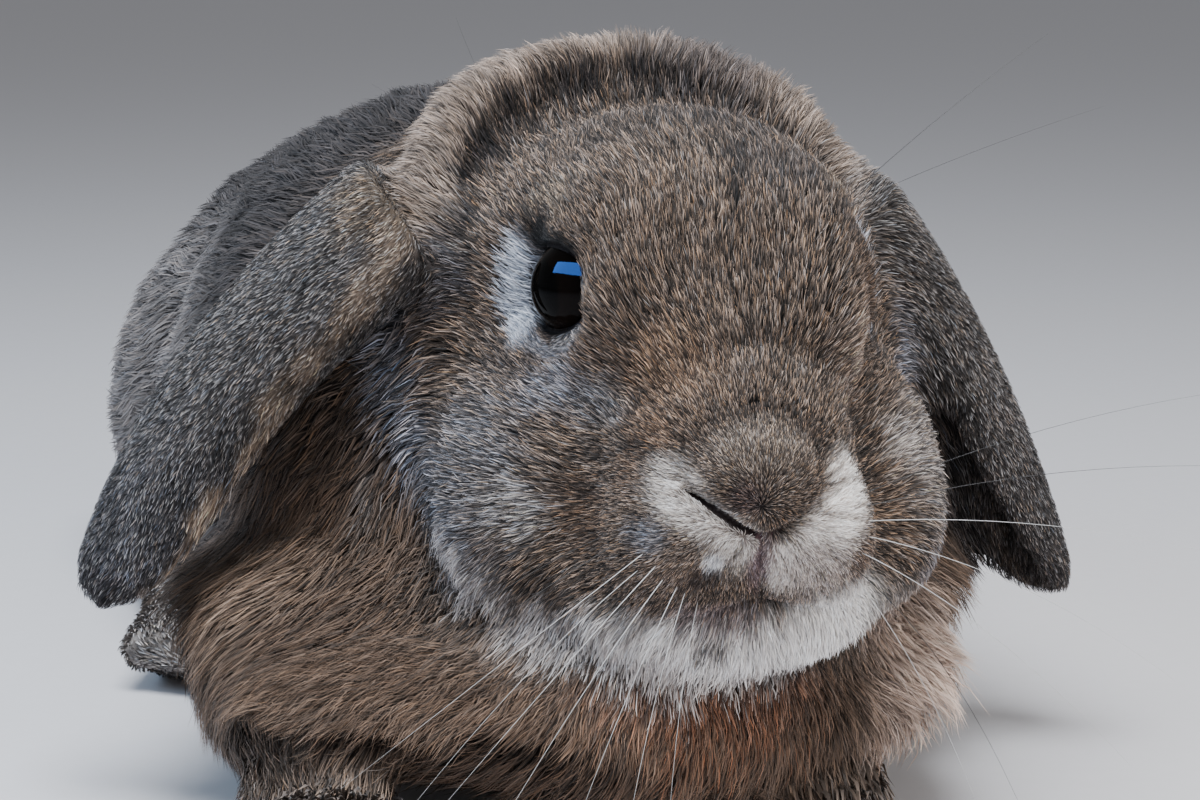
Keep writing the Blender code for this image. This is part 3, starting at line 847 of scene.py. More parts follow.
# The split of the upper lip, and the mouth to the right and to the left of it
PHILTRUM = ((0.3, -51, 60.3), (0.8, -51, 55), (1.4, -48, 50.5))
MOUTH = ((-14, -38, 45.5), (-8, -44, 46.6), (-3, -46, 48.0), (1.4, -47, 49.4), (4, -46, 48.6))
MOUTH_LEFT = ((1.4, -47, 49.4), (7, -44, 47.6), (13, -40, 46.8))


def carve_nose(points, normals):
    """Sinks the nostrils, the split of the lip, the mouth and the crease of the crown."""
    face = to_face(points)
    aside = np.abs(face[:, 0])
    wide = 0.75 + 0.35 * ease(aside, 2, 6) * (1 - ease(aside, 8, 12))
    grooves = [deep * groove(flat_gap(face, line), wide) for line, deep, _ in NOSTRILS]
    grooves += [0.7 * groove(flat_gap(face, fold), 2.0) for fold in FOLDS]
    grooves += [1.3 * groove(flat_gap(face, PHILTRUM), 0.9)]
    grooves += [1.2 * groove(flat_gap(face, line), 0.9) for line in (MOUTH, MOUTH_LEFT)]
    front = ease(-face[:, 1], 24, 34)
    sunk = np.max(grooves, axis=0) * front + 1.8 * groove(from_line(face, CREASE), 3.5)
    return points - normals * (sunk * MM)[:, None]


# ---- materials


def material(name, roughness, specular=0.5):
    """A new material, its node tree and its shader."""
    made = bpy.data.materials.new(name)
    made.use_nodes = True
    shader = made.node_tree.nodes["Principled BSDF"]
    shader.inputs["Roughness"].default_value = roughness
    shader.inputs["Specular IOR Level"].default_value = specular
    return made, made.node_tree, shader


def node(tree, kind, **inputs):
    """A new node, with its inputs linked or set."""
    made = tree.nodes.new(kind)
    for key, value in inputs.items():
        socket = made.inputs[key.replace("_", " ")]
        if isinstance(value, bpy.types.NodeSocket):
            tree.links.new(value, socket)
        else:
            socket.default_value = value
    return made


# The sockets of a node that mixes colours: how much, the two colours and the outcome
MIX_SHARE, MIX_FIRST, MIX_SECOND, MIX_RESULT = 0, 6, 7, 2


def attribute(tree, name):
    """The outputs of a node that reads an attribute of the mesh."""
    made = node(tree, "ShaderNodeAttribute")
    made.attribute_name = name
    return made.outputs


def varied(tree, colour, amount, shade_by):
    """The colour made lighter and darker by a value from 0 to 1."""
    span = node(tree, "ShaderNodeMapRange", Value=shade_by)
    span.inputs["To Min"].default_value = 1 - amount
    span.inputs["To Max"].default_value = 1 + amount
    tint = tree.nodes.new("ShaderNodeVectorMath")
    tint.operation = "SCALE"
    tree.links.new(colour, tint.inputs[0])
    tree.links.new(span.outputs["Result"], tint.inputs["Scale"])
    return tint.outputs["Vector"]


def skin_material():
    """Skin under the coat: the coat's own colour near the skin, with fine creases."""
    made, tree, shader = material("skin_under_coat", 0.75, 0.1)
    place = node(tree, "ShaderNodeTexCoord")
    at = place.outputs["Object"]
    grain = node(tree, "ShaderNodeTexNoise", Vector=at, Scale=900.0, Detail=4.0)
    tinted = varied(tree, attribute(tree, "marking")["Color"], 0.3, grain.outputs["Fac"])
    tree.links.new(tinted, shader.inputs["Base Color"])
    bump = node(tree, "ShaderNodeBump", Height=grain.outputs["Fac"], Strength=0.5, Distance=0.0004)
    tree.links.new(bump.outputs["Normal"], shader.inputs["Normal"])
    return made


# How closely the noise that breaks tufts into hairs runs across and along their patches
HAIRS_ACROSS, HAIRS_ALONG = 1000, 60


def coat_material(name):
    """Tufts: their own banded colour, broken into single hairs across each tuft."""
    made, tree, shader = material(name, 0.62, 0.17)
    shader.inputs["Sheen Weight"].default_value = 0.12
    shader.inputs["Sheen Roughness"].default_value = 0.5
    across = node(tree, "ShaderNodeUVMap")
    across.uv_map = "OFBake"
    scaled = node(tree, "ShaderNodeVectorMath", Vector=across.outputs["UV"])
    scaled.operation = "MULTIPLY"
    scaled.inputs[1].default_value = (HAIRS_ACROSS, HAIRS_ALONG, 1.0)
    hairs = node(tree, "ShaderNodeTexNoise", Vector=scaled.outputs["Vector"], Scale=1.0, Detail=2.0)
    tinted = varied(tree, attribute(tree, "marking")["Color"], 0.35, hairs.outputs["Fac"])
    tree.links.new(tinted, shader.inputs["Base Color"])
    return made


# ---- tufts


def set_mesh(name, points, faces_by_size):
    """A mesh from points and arrays of faces, each array with its own number of corners."""
    mesh = bpy.data.meshes.new(name)
    sizes = np.concatenate([np.full(len(faces), faces.shape[1]) for faces in faces_by_size])
    corners = np.concatenate([faces.ravel() for faces in faces_by_size]).astype(np.int32)
    mesh.vertices.add(len(points))
    mesh.vertices.foreach_set("co", np.asarray(points, np.float32).ravel())
    mesh.loops.add(len(corners))
    mesh.loops.foreach_set("vertex_index", corners)
    mesh.polygons.add(len(sizes))
    starts = np.concatenate([[0], np.cumsum(sizes)[:-1]]).astype(np.int32)
    mesh.polygons.foreach_set("loop_start", starts)
    mesh.update(calc_edges=True)
    mesh.shade_smooth()
    return mesh, corners


# Width of a tuft's patch on the map
PATCH = 0.003


def box_unwrap(points, normals):
    """Lays each point out on one of six sheets, by the side of the body that it faces."""
    low, high = points.min(axis=0), points.max(axis=0)
    share = (points - low) / np.maximum(high - low, 1e-6)
    axis = np.abs(normals).argmax(axis=1)
    sheet = axis * 2 + (normals[np.arange(len(points)), axis] > 0)
    across = np.where(axis == 0, share[:, 1], share[:, 0])
    along = np.where(axis == 2, share[:, 1], share[:, 2])
    column, row = sheet % 3, sheet // 3
    return np.stack([(column + 0.02 + 0.95 * across) / 3, (row + 0.02 + 0.95 * along) / 2], axis=1)


def scatter(points, triangles, density, chance):
    """Roots spread evenly over the skin: the triangle of each and its weights there."""
    corner = points[triangles] / MM
    across = np.cross(corner[:, 1] - corner[:, 0], corner[:, 2] - corner[:, 0])
    area = np.linalg.norm(across, axis=1) / 2
    wanted = area * density[triangles].mean(axis=1)
    count = np.floor(wanted + chance.random(len(wanted))).astype(int)
    chosen = np.repeat(np.arange(len(triangles)), count)
    first = np.sqrt(chance.random(len(chosen)))
    second = chance.random(len(chosen))
    weights = np.stack([1 - first, first * (1 - second), first * second], axis=1)
    return triangles[chosen], weights


def at_roots(values, corners, weights):
    return np.einsum("ij...,ij->i...", values[corners], weights)


def grow_tufts(roots, normals, lay, length, rise, width, bend, roll, rows_of):
    """Points of flat tapering tufts, each a strip that leaves the skin and then lies down."""
    side = unit(np.cross(normals, lay))
    side = side * np.cos(roll)[:, None] + normals * np.sin(roll)[:, None]
    # the lean at which a tuft ends about that far above the skin
    lean = 2 * np.arcsin(np.clip(rise / length, -0.2, 0.62))
    rows = []
    place, last = roots.copy(), 0.0
    for share, wide, _ in rows_of:
        middle = (share + last) / 2
        angle = lean * (1.15 - 1.3 * middle)
        step = lay * np.cos(angle)[:, None] + normals * np.sin(angle)[:, None]
        step = step + side * (bend * middle)[:, None]
        place = place + step * (length * (share - last) * MM)[:, None]
        last = share
        if wide == 0:
            rows.append(place)
        else:
            half = side * (width * wide * 0.5 * MM)[:, None]
            rows += [place - half, place + half]
    return np.stack(rows, axis=1)


# Kinds of tuft: share of the length, of the width and of the tip's colour at each row
TUFT_ROWS = {
    "long": ((0.0, 0.8, 0.0), (0.36, 1.0, 0.15), (0.72, 0.72, 0.8), (1.0, 0, 1.0)),
    "plain": ((0.0, 0.8, 0.0), (0.5, 1.0, 0.5), (1.0, 0, 1.0)),
    "short": ((0.0, 0.85, 0.0), (0.5, 1.0, 0.25), (1.0, 0, 1.0)),
}

# Per kind: width in millimetres of a tuft without length, width gained per millimetre of length,
# and how much the lie of the tufts waves and how far they roll about their length
TUFT_KINDS = {
    "long": (0.14, 0.019, 0.2, 0.45),
    "plain": (0.14, 0.019, 0.2, 0.3),
    "short": (0.10, 0.018, 0.12, 0.45),
}


def tuft_mesh(name, tufts, tones, rows_of, places):
    """One mesh of many tufts, with its colours and its map of small patches."""
    count, corners = tufts.shape[:2]
    base = (np.arange(count) * corners)[:, None]
    rows = corners // 2
    quads = [base + (2 * r, 2 * r + 1, 2 * r + 3, 2 * r + 2) for r in range(rows - 1)]
    point = base + (corners - 3, corners - 2, corners - 1)
    mesh, order = set_mesh(name, tufts.reshape(-1, 3), [np.concatenate(quads), point])
    tip, root = tones
    colours = np.empty((count, corners, 4), np.float32)
    for row, (_, _, share) in enumerate(rows_of):
        colours[:, 2 * row : 2 * row + 2, :3] = (root + (tip - root) * share)[:, None]
    colours[..., 3] = 1
    layer = mesh.color_attributes.new("marking", "FLOAT_COLOR", "POINT")
    layer.data.foreach_set("color", colours.ravel())
    across = np.array([0, 1] * rows + [0.5])
    along = np.append(np.repeat(np.arange(rows), 2), rows) / rows
    spots = places[:, None] + np.stack([across, along], axis=1)[None] * PATCH
    spots = spots.reshape(-1, 2)[order]
    layer = mesh.uv_layers.new(name="OFBake")
    layer.data.foreach_set("uv", spots.astype(np.float32).ravel())
    return mesh


class Groom:
    """The skin's points with everything the coat needs to know at each."""

    def __init__(self, skin):
        mesh = skin.data
        self.points = fetch(mesh.vertices, "co", 3).astype(float)
        self.triangles = triangles_of(mesh)
        self.normals = vertex_normals(self.points, self.triangles)

        def stored(name, key="value", width=1):
            return fetch(mesh.attributes[name].data, key, width).astype(float)

        self.shares = np.stack([stored(f"in_{name}") for name in AREAS], axis=1)
        self.lay = stored("lay", "vector", 3)
        self.depth = stored("depth")
        self.length = stored("length")
        self.seen = self.openness()

    def openness(self):
        """Less than 1 where the skin faces the floor or a part close by, and few tufts show."""
        tree = BVHTree.FromPolygons(self.points.tolist(), self.triangles.tolist())
        starts = self.points + self.normals * 0.4 * MM
        blocked = [
            tree.ray_cast(start, way, 7 * MM)[0] is not None
            for start, way in zip(starts.tolist(), self.normals.tolist())
        ]
        links = MeshLinks(self.triangles, len(self.points))
        open_sky = links.smooth(1 - 0.85 * np.array(blocked, float), 2)
        for side in SIDES:
            past, _, near = around_eye(self.points, side)
            open_sky = np.maximum(open_sky, near * (past < 8))
        under = ease(-self.normals[:, 2], 0.45, 0.9) * (self.points[:, 2] < 30 * MM)
        return open_sky * (1 - 0.75 * under)


def bare_places(points):
    """1 where no tufts grow: on the lids' edges, the eyes and inside the nostrils."""
    face = to_face(points)
    bare = np.zeros(len(points))
    for side in SIDES:
        past, _, near = around_eye(points, side)
        bare = np.maximum(bare, near & (past < 0.45))
    front = face[:, 1] < -36
    for line, _, half in NOSTRILS:
        bare = np.maximum(bare, (flat_gap(face, line) < half) & front)
    bare = np.maximum(bare, (flat_gap(face, PHILTRUM) < 0.4) & front)
    return bare


def far_brow(points):
    """1 just in front of the left eye, where the coat stands up a little."""
    return in_egg(to_face(points), (21.5, -20.5, 92), (6, 5, 10), 0.5, 1.2)


# Tufts to a square millimetre at the most, and the extra rise of those in front of the left eye
CLOSEST = 34
FAR_BROW_RISE = 2.8

# How single tufts differ: in their lie and bend, in length, rise and width as shares of the usual,
# and in how far along the coat they take their colour from, as a share of their length
LIE_SPREAD, BEND_SPREAD, COLOUR_SPREAD = 0.16, 0.12, 0.22
LENGTHS, RISES, WIDTHS = (0.6, 1.2), (0.5, 1.12), (0.65, 1.3)


def coat_piece(name, groom, member, kind, fullness, coarse, locks, slot, seed):
    """One piece of the coat, over the part of the skin where member is above a half.

    fullness is how many times over the tufts would cover the skin, coarse widens them, and locks
    says how strongly their tips are drawn together and how many of them make a lock.
    """
    chance = np.random.default_rng(seed)
    settings = bpy.context.scene.rabbit_coat
    rows_of = TUFT_ROWS[kind]
    thin, grow, wave, roll = TUFT_KINDS[kind]
    length = groom.length * settings.length
    width = (thin + grow * length) * settings.thickness * coarse
    density = np.minimum(fullness * settings.fullness / (length * width), CLOSEST) * groom.seen
    inside = member[groom.triangles].mean(axis=1) > 0.5
    corners, weights = scatter(groom.points, groom.triangles[inside], density, chance)
    roots = at_roots(groom.points, corners, weights)
    keep = bare_places(roots) < 0.5
    corners, weights, roots = corners[keep], weights[keep], roots[keep]
    normals = unit(at_roots(groom.normals, corners, weights))
    lay = unit(at_roots(groom.lay, corners, weights))
    shares = at_roots(groom.shares, corners, weights)
    length, width, depth = (at_roots(v, corners, weights) for v in (length, width, groom.depth))
    count = len(roots)
    body = to_body(roots)

    # waves in the lie of the coat, then each tuft's own way
    sway = wave * ripple(body, 24, seed + 1) + wave * ripple(body, 8, seed + 2)
    sway = sway + chance.normal(0, LIE_SPREAD, count)
    across = np.cross(normals, lay)
    flow = unit(lay * np.cos(sway)[:, None] + across * np.sin(sway)[:, None])
    tufts = grow_tufts(
        roots,
        normals,
        flow,
        length * chance.uniform(*LENGTHS, count),
        depth * chance.uniform(*RISES, count) + FAR_BROW_RISE * far_brow(roots),
        width * chance.uniform(*WIDTHS, count),
        chance.normal(0, BEND_SPREAD, count),
        chance.normal(0, roll, count),
        rows_of,
    )
    owner = gather(tufts, roots, chance, *locks)
    tufts[..., 2] = np.maximum(tufts[..., 2], TUFTS_OFF_FLOOR * MM)

    # neighbours of different shades, so that the edges of the marks run in streaks
    slide = chance.normal(0, COLOUR_SPREAD, count) * length
    tip, root = markings(roots + lay * (slide * MM)[:, None], shares)
    tones = self_coloured(tip, root, shares, chance, owner)
    mesh = tuft_mesh(name, tufts, tones, rows_of, box_unwrap(roots, normals))
    mesh.materials.append(coat_material(name))
    coat = new_object(name, mesh)
    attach(coat, "root")


# How many tufts are dark guard hairs, and white ones on the ears, and how much whole locks, roots
# and the warmth of tips vary
GUARD_HAIRS, WHITE_HAIRS = 0.4, 0.12
LOCK_SPREAD, ROOT_SPREAD, WARMTH_SPREAD = 0.2, 0.2, 0.10
WHITE_HAIR = (176, 172, 170)


def self_coloured(tip, root, shares, chance, owner):
    """Gives each tuft its own shade: some dark guard hairs, some warm, some grey."""
    count = len(tip)
    pale = ease(tip.mean(axis=1), 0.3, 0.75)
    soft = part_of(shares, "chest", "crown", "back", "thigh", "tail")
    strength = (1 - 0.75 * pale) * (1 - 0.6 * soft)
    own = strength * np.clip(chance.normal(0.0, 0.7, count), -1.5, 0.75)
    lock = LOCK_SPREAD * (1 - 0.6 * pale) * soft * chance.normal(0.0, 1.0, count)[owner]
    tip = tip * np.exp(own + lock)[:, None]
    root = root * np.exp(lock + chance.normal(0, ROOT_SPREAD, count))[:, None]
    warmth = (chance.normal(0.0, WARMTH_SPREAD, count) * strength)[:, None]
    tip = tip * (1 + warmth * (1.0, 0.1, -1.0))
    guard = chance.random(count) < GUARD_HAIRS * (1 - pale) * (1 - 0.7 * soft)
    tip[guard] = tip[guard] * 0.15 + root[guard] * 0.5
    white = chance.random(count) < WHITE_HAIRS * part_of(shares, "ear")
    tip[white] = shade(*WHITE_HAIR)
    return np.clip(tip, 0, 0.9), np.clip(root, 0, 0.9)


def gather(tufts, roots, chance, strength, members):
    """Draws the tips of neighbours into locks of about so many members, and gives each its lock."""
    guides = chance.choice(len(roots), max(1, len(roots) // members), replace=False)
    tree = KDTree(len(guides))
    for number, place in enumerate(roots[guides].tolist()):
        tree.insert(place, number)
    tree.balance()
    owner = guides[np.array([tree.find(place)[1] for place in roots.tolist()])]
    rows = tufts.shape[1] // 2
    lead = tufts[owner] - roots[owner][:, None]
    shift = roots[owner] - roots
    for row in range(1, rows + 1):
        share = strength * (row / rows) ** 1.5
        cells = slice(2 * row, min(2 * row + 2, tufts.shape[1]))
        middle = lead[:, cells].mean(axis=1) + roots + shift * 0.75
        own = tufts[:, cells].mean(axis=1)
        tufts[:, cells] += ((middle - own) * share)[:, None]
    return owner


# ---- settings a user would change


class RabbitSkinSettings(bpy.types.PropertyGroup):
    cell: FloatProperty(
        name="Skin cell", description="Width of the squares that the skin is drawn with",
        default=0.0017, min=0.0008, max=0.004, precision=4, subtype="DISTANCE", unit="LENGTH",
    )
    coat_depth: FloatProperty(
        name="Coat depth",
        description="How far the skin lies under the coat's tips, as a share of the usual depth",
        default=1.0, min=0.3, max=1.5, subtype="FACTOR",
    )


class RabbitCoatSettings(bpy.types.PropertyGroup):
    length: FloatProperty(
        name="Length", description="Length of the tufts, as a share of the usual length",
        default=1.0, min=0.5, max=1.5, subtype="FACTOR",
    )
    thickness: FloatProperty(
        name="Tuft thickness", description="Width of the tufts, as a share of the usual width",
        default=1.0, min=0.5, max=2.0, subtype="FACTOR",
    )
    fullness: FloatProperty(
        name="Fullness",
        description="How closely the tufts stand, as a share of the usual closeness",
        default=1.0, min=0.1, max=1.3, subtype="FACTOR",
    )


class RabbitEyeSettings(bpy.types.PropertyGroup):
    iris: FloatVectorProperty(
        name="Iris", description="Colour of the ring round the pupil",
        default=(0.0045, 0.003, 0.0025), size=3, min=0.0, max=1.0, subtype="COLOR",
    )
    whisker_thickness: FloatProperty(
        name="Whisker thickness", description="Width of a whisker where it leaves the lip",
        default=0.00015, min=0.0001, max=0.001, precision=5, subtype="DISTANCE", unit="LENGTH",
    )


class RabbitStageSettings(bpy.types.PropertyGroup):
    floor_colour: FloatVectorProperty(
        name="Floor", description="Colour of the floor", default=(0.62, 0.60, 0.61), size=3,
        min=0.0, max=1.0, subtype="COLOR",
    )
    key_power: FloatProperty(
        name="Key light", description="Power of the large soft light above the head",
        default=11.0, min=0.0, max=100.0, unit="POWER",
    )
    segments: IntProperty(
        name="Floor segments", description="Number of sides of the round floor", default=96,
        min=12, max=256,
    )


# ---- operators


def finished(name):
    """A piece that an earlier operator has made."""
    piece = bpy.data.objects.get(name)
    if piece is None:
        raise RuntimeError(f"{name} is not there yet: run the operators in the order of the panel")
    return piece


def store(mesh, name, kind, key, values):
    """Keeps one number, vector or colour for every vertex as an attribute."""
    layer = mesh.attributes.new(name, kind, "POINT")
    layer.data.foreach_set(key, np.asarray(values, np.float32).ravel())


# The solids are swelled by so many millimetres to join them, the eyes by more, and the skin is then
# drawn in by the coat's depth in this many steps
SWELL, EYE_SWELL = 0.3, 0.9
INSET_STEPS = 5


class RABBIT_OT_skin(bpy.types.Operator):
    """Draws one skin in from the solids, with lids, nostrils, lips and the lie of the coat"""

    bl_idname = "rabbit.skin"
    bl_label = "Skin"

    def execute(self, context):
        settings = context.scene.rabbit_skin
        skin = joined_solids()
        remesh = skin.modifiers.new("one_surface", "REMESH")
        remesh.mode = "VOXEL"
        remesh.voxel_size = settings.cell
        baked(skin)
        bm = bmesh.new()
        bm.from_mesh(skin.data)
        keep_outer_shell(bm)
        bmesh.ops.triangulate(bm, faces=bm.faces[:])
        refine(bm, lambda face: fine_places(face, 1.0))
        refine(bm, lambda face: fine_places(face, 0.86))
        refine(bm, lid_edges)
        bm.to_mesh(skin.data)
        bm.free()

        points = fetch(skin.data.vertices, "co", 3).astype(float)
        triangles = triangles_of(skin.data)
        links = MeshLinks(triangles, len(points))
        points = links.smooth(points, 3, 0.5)
        shares = area_shares(points, links)
        depth, length = coat_sizes(points, shares)
        depth = links.smooth(depth, 6) * settings.coat_depth
        for _ in range(INSET_STEPS):
            normals = links.smooth(vertex_normals(points, triangles), 2)
            points = points - unit(normals) * (depth * MM / INSET_STEPS)[:, None]
            points = links.smooth(points, 1, 0.35)
        for side in SIDES:
            points = shape_lids(points, side)
        points = carve_nose(points, vertex_normals(points, triangles))
        points[:, 2] = np.maximum(points[:, 2], SKIN_OFF_FLOOR * MM)
        skin.data.vertices.foreach_set("co", points.astype(np.float32).ravel())
        skin.data.update()

        normals = vertex_normals(points, triangles)
        lay = lay_of_coat(points, normals, shares, links)
        for number, name in enumerate(AREAS):
            store(skin.data, f"in_{name}", "FLOAT", "value", shares[:, number])
        store(skin.data, "lay", "FLOAT_VECTOR", "vector", lay)
        store(skin.data, "depth", "FLOAT", "value", depth)
        store(skin.data, "length", "FLOAT", "value", length)
        tip, root = markings(points, shares)
        sleek = 1 - part_of(shares, "head", "crown", "neck", "chest")
        root = self.bare_skin(points, root + (tip - root) * (0.4 * sleek)[:, None])
        colours = np.concatenate([np.clip(root, 0, 1), np.ones((len(root), 1))], axis=1)
        store(skin.data, "marking", "FLOAT_COLOR", "color", colours)
        skin.data.materials.clear()
        skin.data.materials.append(skin_material())
        skin.data.shade_smooth()
        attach(skin, "root")
        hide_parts(*[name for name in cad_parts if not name.startswith("eye")])
        return {"FINISHED"}

    def bare_skin(self, points, colour):
        """Dark lid edges, painted shade inside the nostrils and the mauve skin of the lip, over the
        coat's colour.
        """
        colour = colour * 0.8
        face = to_face(points)
        front = ease(-face[:, 1], 34, 40)
        stains = [((140, 108, 112), groove(flat_gap(face, PHILTRUM), 1.6) * front)]
        # painted shade inside each nostril, darker the deeper it is sunk
        for line, deep, _ in NOSTRILS:
            dark = groove(flat_gap(face, line), 1.0) * front * min(1, deep / 2)
            stains.append(((36, 26, 27), dark))
        for line in (MOUTH, MOUTH_LEFT):
            stains.append(((84, 62, 64), groove(flat_gap(face, line), 0.8) * front))
        for side in SIDES:
            past, _, near = around_eye(points, side)
            stains.append(((20, 17, 18), (1 - ease(past, 1.2, 2.2)) * near))
        for tone, share in stains:
            colour += (shade(*tone) - colour) * share[:, None]
        return colour


# The cornea bulges from this height on the eyeball, of 1 in all, by so many millimetres
CORNEA_FROM, CORNEA_RISE = 0.55, 0.5


class RABBIT_OT_eyes(bpy.types.Operator):
    """Makes the two glossy eyes, each with its pupil, iris and bulging cornea"""

    bl_idname = "rabbit.eyes"
    bl_label = "Eyes"

    def execute(self, context):
        finish = self.eye_material(context.scene.rabbit_eyes)
        for side in SIDES:
            centre, axis, _, _ = eye_frame(side)
            bm = bmesh.new()
            bmesh.ops.create_uvsphere(bm, u_segments=64, v_segments=40, radius=1.0)
            for vertex in bm.verts:
                place = vertex.co.copy()
                swell = max(0.0, (place.z - CORNEA_FROM) / (1 - CORNEA_FROM)) ** 1.5
                vertex.co = place * (EYE_RADIUS - LID_GAP + swell * CORNEA_RISE)
            spin = Vector(axis).to_track_quat("Z", "Y").to_matrix().to_4x4()
            mesh = bpy.data.meshes.new(f"eyeball_{side}")
            bmesh.ops.transform(bm, matrix=Matrix.Scale(MM, 4), verts=bm.verts[:])
            layer = bm.verts.layers.float_vector.new("looks")
            for vertex in bm.verts:
                vertex[layer] = vertex.co / (EYE_RADIUS * MM)
            placed = Matrix.Translation(Vector(centre)) @ spin
            bmesh.ops.transform(bm, matrix=placed, verts=bm.verts[:])
            bm.to_mesh(mesh)
            bm.free()
            mesh.materials.append(finish)
            mesh.shade_smooth()
            eye = new_object(f"eyeball_{side}", mesh)
            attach(eye, "root")
            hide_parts(f"eye_{side}")
        return {"FINISHED"}

    def eye_material(self, settings):
        made, tree, shader = material("wet_eye", 0.04, 0.1)
        shader.inputs["IOR"].default_value = 1.33
        place = attribute(tree, "looks")["Vector"]
        split = node(tree, "ShaderNodeSeparateXYZ", Vector=place)
        grain = node(tree, "ShaderNodeTexNoise", Vector=place, Scale=14.0)
        sum_up = tree.nodes.new("ShaderNodeMath")
        sum_up.operation = "MULTIPLY_ADD"
        tree.links.new(grain.outputs["Fac"], sum_up.inputs[0])
        sum_up.inputs[1].default_value = 0.06
        tree.links.new(split.outputs["Z"], sum_up.inputs[2])
        ramp = node(tree, "ShaderNodeValToRGB", Fac=sum_up.outputs["Value"])
        # from the back of the ball to the middle of the pupil, which starts at 0.89
        iris = tuple(settings.iris)
        stops = ((0.0, (0.002, 0.002, 0.002)), (0.50, (0.003, 0.0025, 0.002)), (0.62, iris))
        stops += ((0.84, tuple(c * 1.3 for c in iris)), (0.89, (0.002, 0.002, 0.002)))
        for number, (at, colour) in enumerate(stops):
            elements = ramp.color_ramp.elements
            stop = elements[number] if number < 2 else elements.new(at)
            stop.position, stop.color = at, (*colour, 1)
        tree.links.new(ramp.outputs["Color"], shader.inputs["Base Color"])
        return made


class RABBIT_OT_coat(bpy.types.Operator):
    """Grows the tufts of the coat over the whole skin, in pieces by area"""

    bl_idname = "rabbit.coat"
    bl_label = "Coat"

    def execute(self, context):
        groom = Groom(finished("skin"))
        most = groom.shares.argmax(axis=1)
        face = to_face(groom.points)
        left = face[:, 0] > 0
        area = {name: (most == number).astype(float) for name, number in AREA.items()}
        high = face[:, 2] > 78
        head, ear = area["head"], area["ear"]
        near, far = face[:, 1] < -6, face[:, 1] >= -6
        few, many = (0.25, 6), (0.55, 14)
        pieces = [
            ("coat_brow_right", head * ~left * high, "short", 8.2, 0.95, few, "agouti_coat"),
            ("coat_brow_left", head * left * high, "short", 6.4, 1.05, few, "agouti_coat"),
            ("coat_cheek_right", head * ~left * ~high, "short", 8.0, 0.95, few, "agouti_coat"),
            ("coat_cheek_left", head * left * ~high, "short", 5.8, 1.05, few, "agouti_coat"),
            ("coat_crown", area["crown"], "long", 12.5, 0.6, (0.6, 12), "agouti_coat"),
            ("coat_ear_right", ear * ~left, "short", 2.45, 1.15, few, "ear_coat"),
            ("coat_ear_left", ear * left, "short", 2.5, 1.2, few, "ear_coat"),
            ("coat_neck", area["neck"], "plain", 6.5, 1.0, many, "agouti_coat"),
            ("coat_chest_front", area["chest"] * near, "long", 19.0, 0.52, (0.5, 9), "tan_coat"),
            ("coat_chest_sides", area["chest"] * far, "plain", 9.5, 0.75, (0.5, 9), "tan_coat"),
            ("coat_back_right", area["back"] * ~left, "plain", 5.6, 1.0, many, "agouti_coat"),
            ("coat_back_left", area["back"] * left, "plain", 5.6, 1.0, many, "agouti_coat"),
            ("coat_thighs", area["thigh"], "plain", 5.6, 1.0, many, "agouti_coat"),
            ("coat_legs", area["leg"], "plain", 5.0, 1.1, (0.4, 10), "agouti_coat"),
            ("coat_paws", area["paw"], "short", 3.0, 2.2, few, "agouti_coat"),
            ("coat_tail", area["tail"], "plain", 6.0, 1.0, many, "tail_coat"),
        ]
        for number, (name, member, *look) in enumerate(pieces):
            coat_piece(name, groom, member, *look, seed=11 + number * 7)
        return {"FINISHED"}


# Each long hair: root, bend, end, pale or dark, and size
WHISKERS = [
    ((-14, -46, 56), (-30, -56, 44), (-52, -58, 20), "pale", 1.0),
    ((-13, -46, 54), (-28, -56, 40), (-46, -60, 12), "pale", 1.0),
    ((-15, -45, 58), (-36, -54, 46), (-62, -52, 26), "pale", 0.9),
    ((-11, -46, 53), (-22, -56, 38), (-34, -60, 8), "pale", 0.9),
    ((-10, -46, 52), (-18, -55, 36), (-24, -60, 6), "pale", 0.8),
    ((-16, -44, 55), (-36, -50, 42), (-58, -50, 14), "pale", 0.8),
    ((-8, -45, 50), (-14, -54, 34), (-16, -58, 4), "pale", 0.7),
    ((-17, -43, 60), (-36, -52, 52), (-56, -54, 40), "dark", 0.9),
    ((-16, -44, 62), (-34, -52, 58), (-50, -56, 48), "dark", 0.8),
    ((16, -44, 56), (34, -54, 48), (58, -50, 22), "pale", 1.0),
    ((15, -44, 54), (30, -54, 42), (44, -52, 8), "dark", 1.0),
    ((17, -43, 58), (40, -52, 54), (66, -46, 34), "pale", 0.9),
    ((17, -43, 60), (44, -50, 62), (76, -44, 52), "pale", 0.9),
    ((18, -42, 62), (46, -50, 70), (80, -44, 66), "dark", 0.9),
    ((16, -43, 52), (28, -50, 36), (38, -50, 6), "pale", 0.8),
    ((18, -42, 64), (44, -48, 76), (74, -44, 78), "dark", 0.8),
    ((-22, -12, 104), (-34, -20, 118), (-40, -22, 134), "dark", 0.8),
    ((-23, -9, 105), (-38, -16, 116), (-52, -16, 124), "dark", 0.7),
    ((22, -12, 104), (36, -16, 118), (56, -10, 130), "dark", 0.8),
    ((23, -9, 103), (42, -12, 112), (68, -4, 118), "dark", 0.7),
    ((-38, 2, 70), (-58, -8, 80), (-76, -4, 98), "dark", 0.9),
]
WHISKER_COLOURS = {"pale": (0.50, 0.49, 0.48), "dark": (0.02, 0.018, 0.018)}


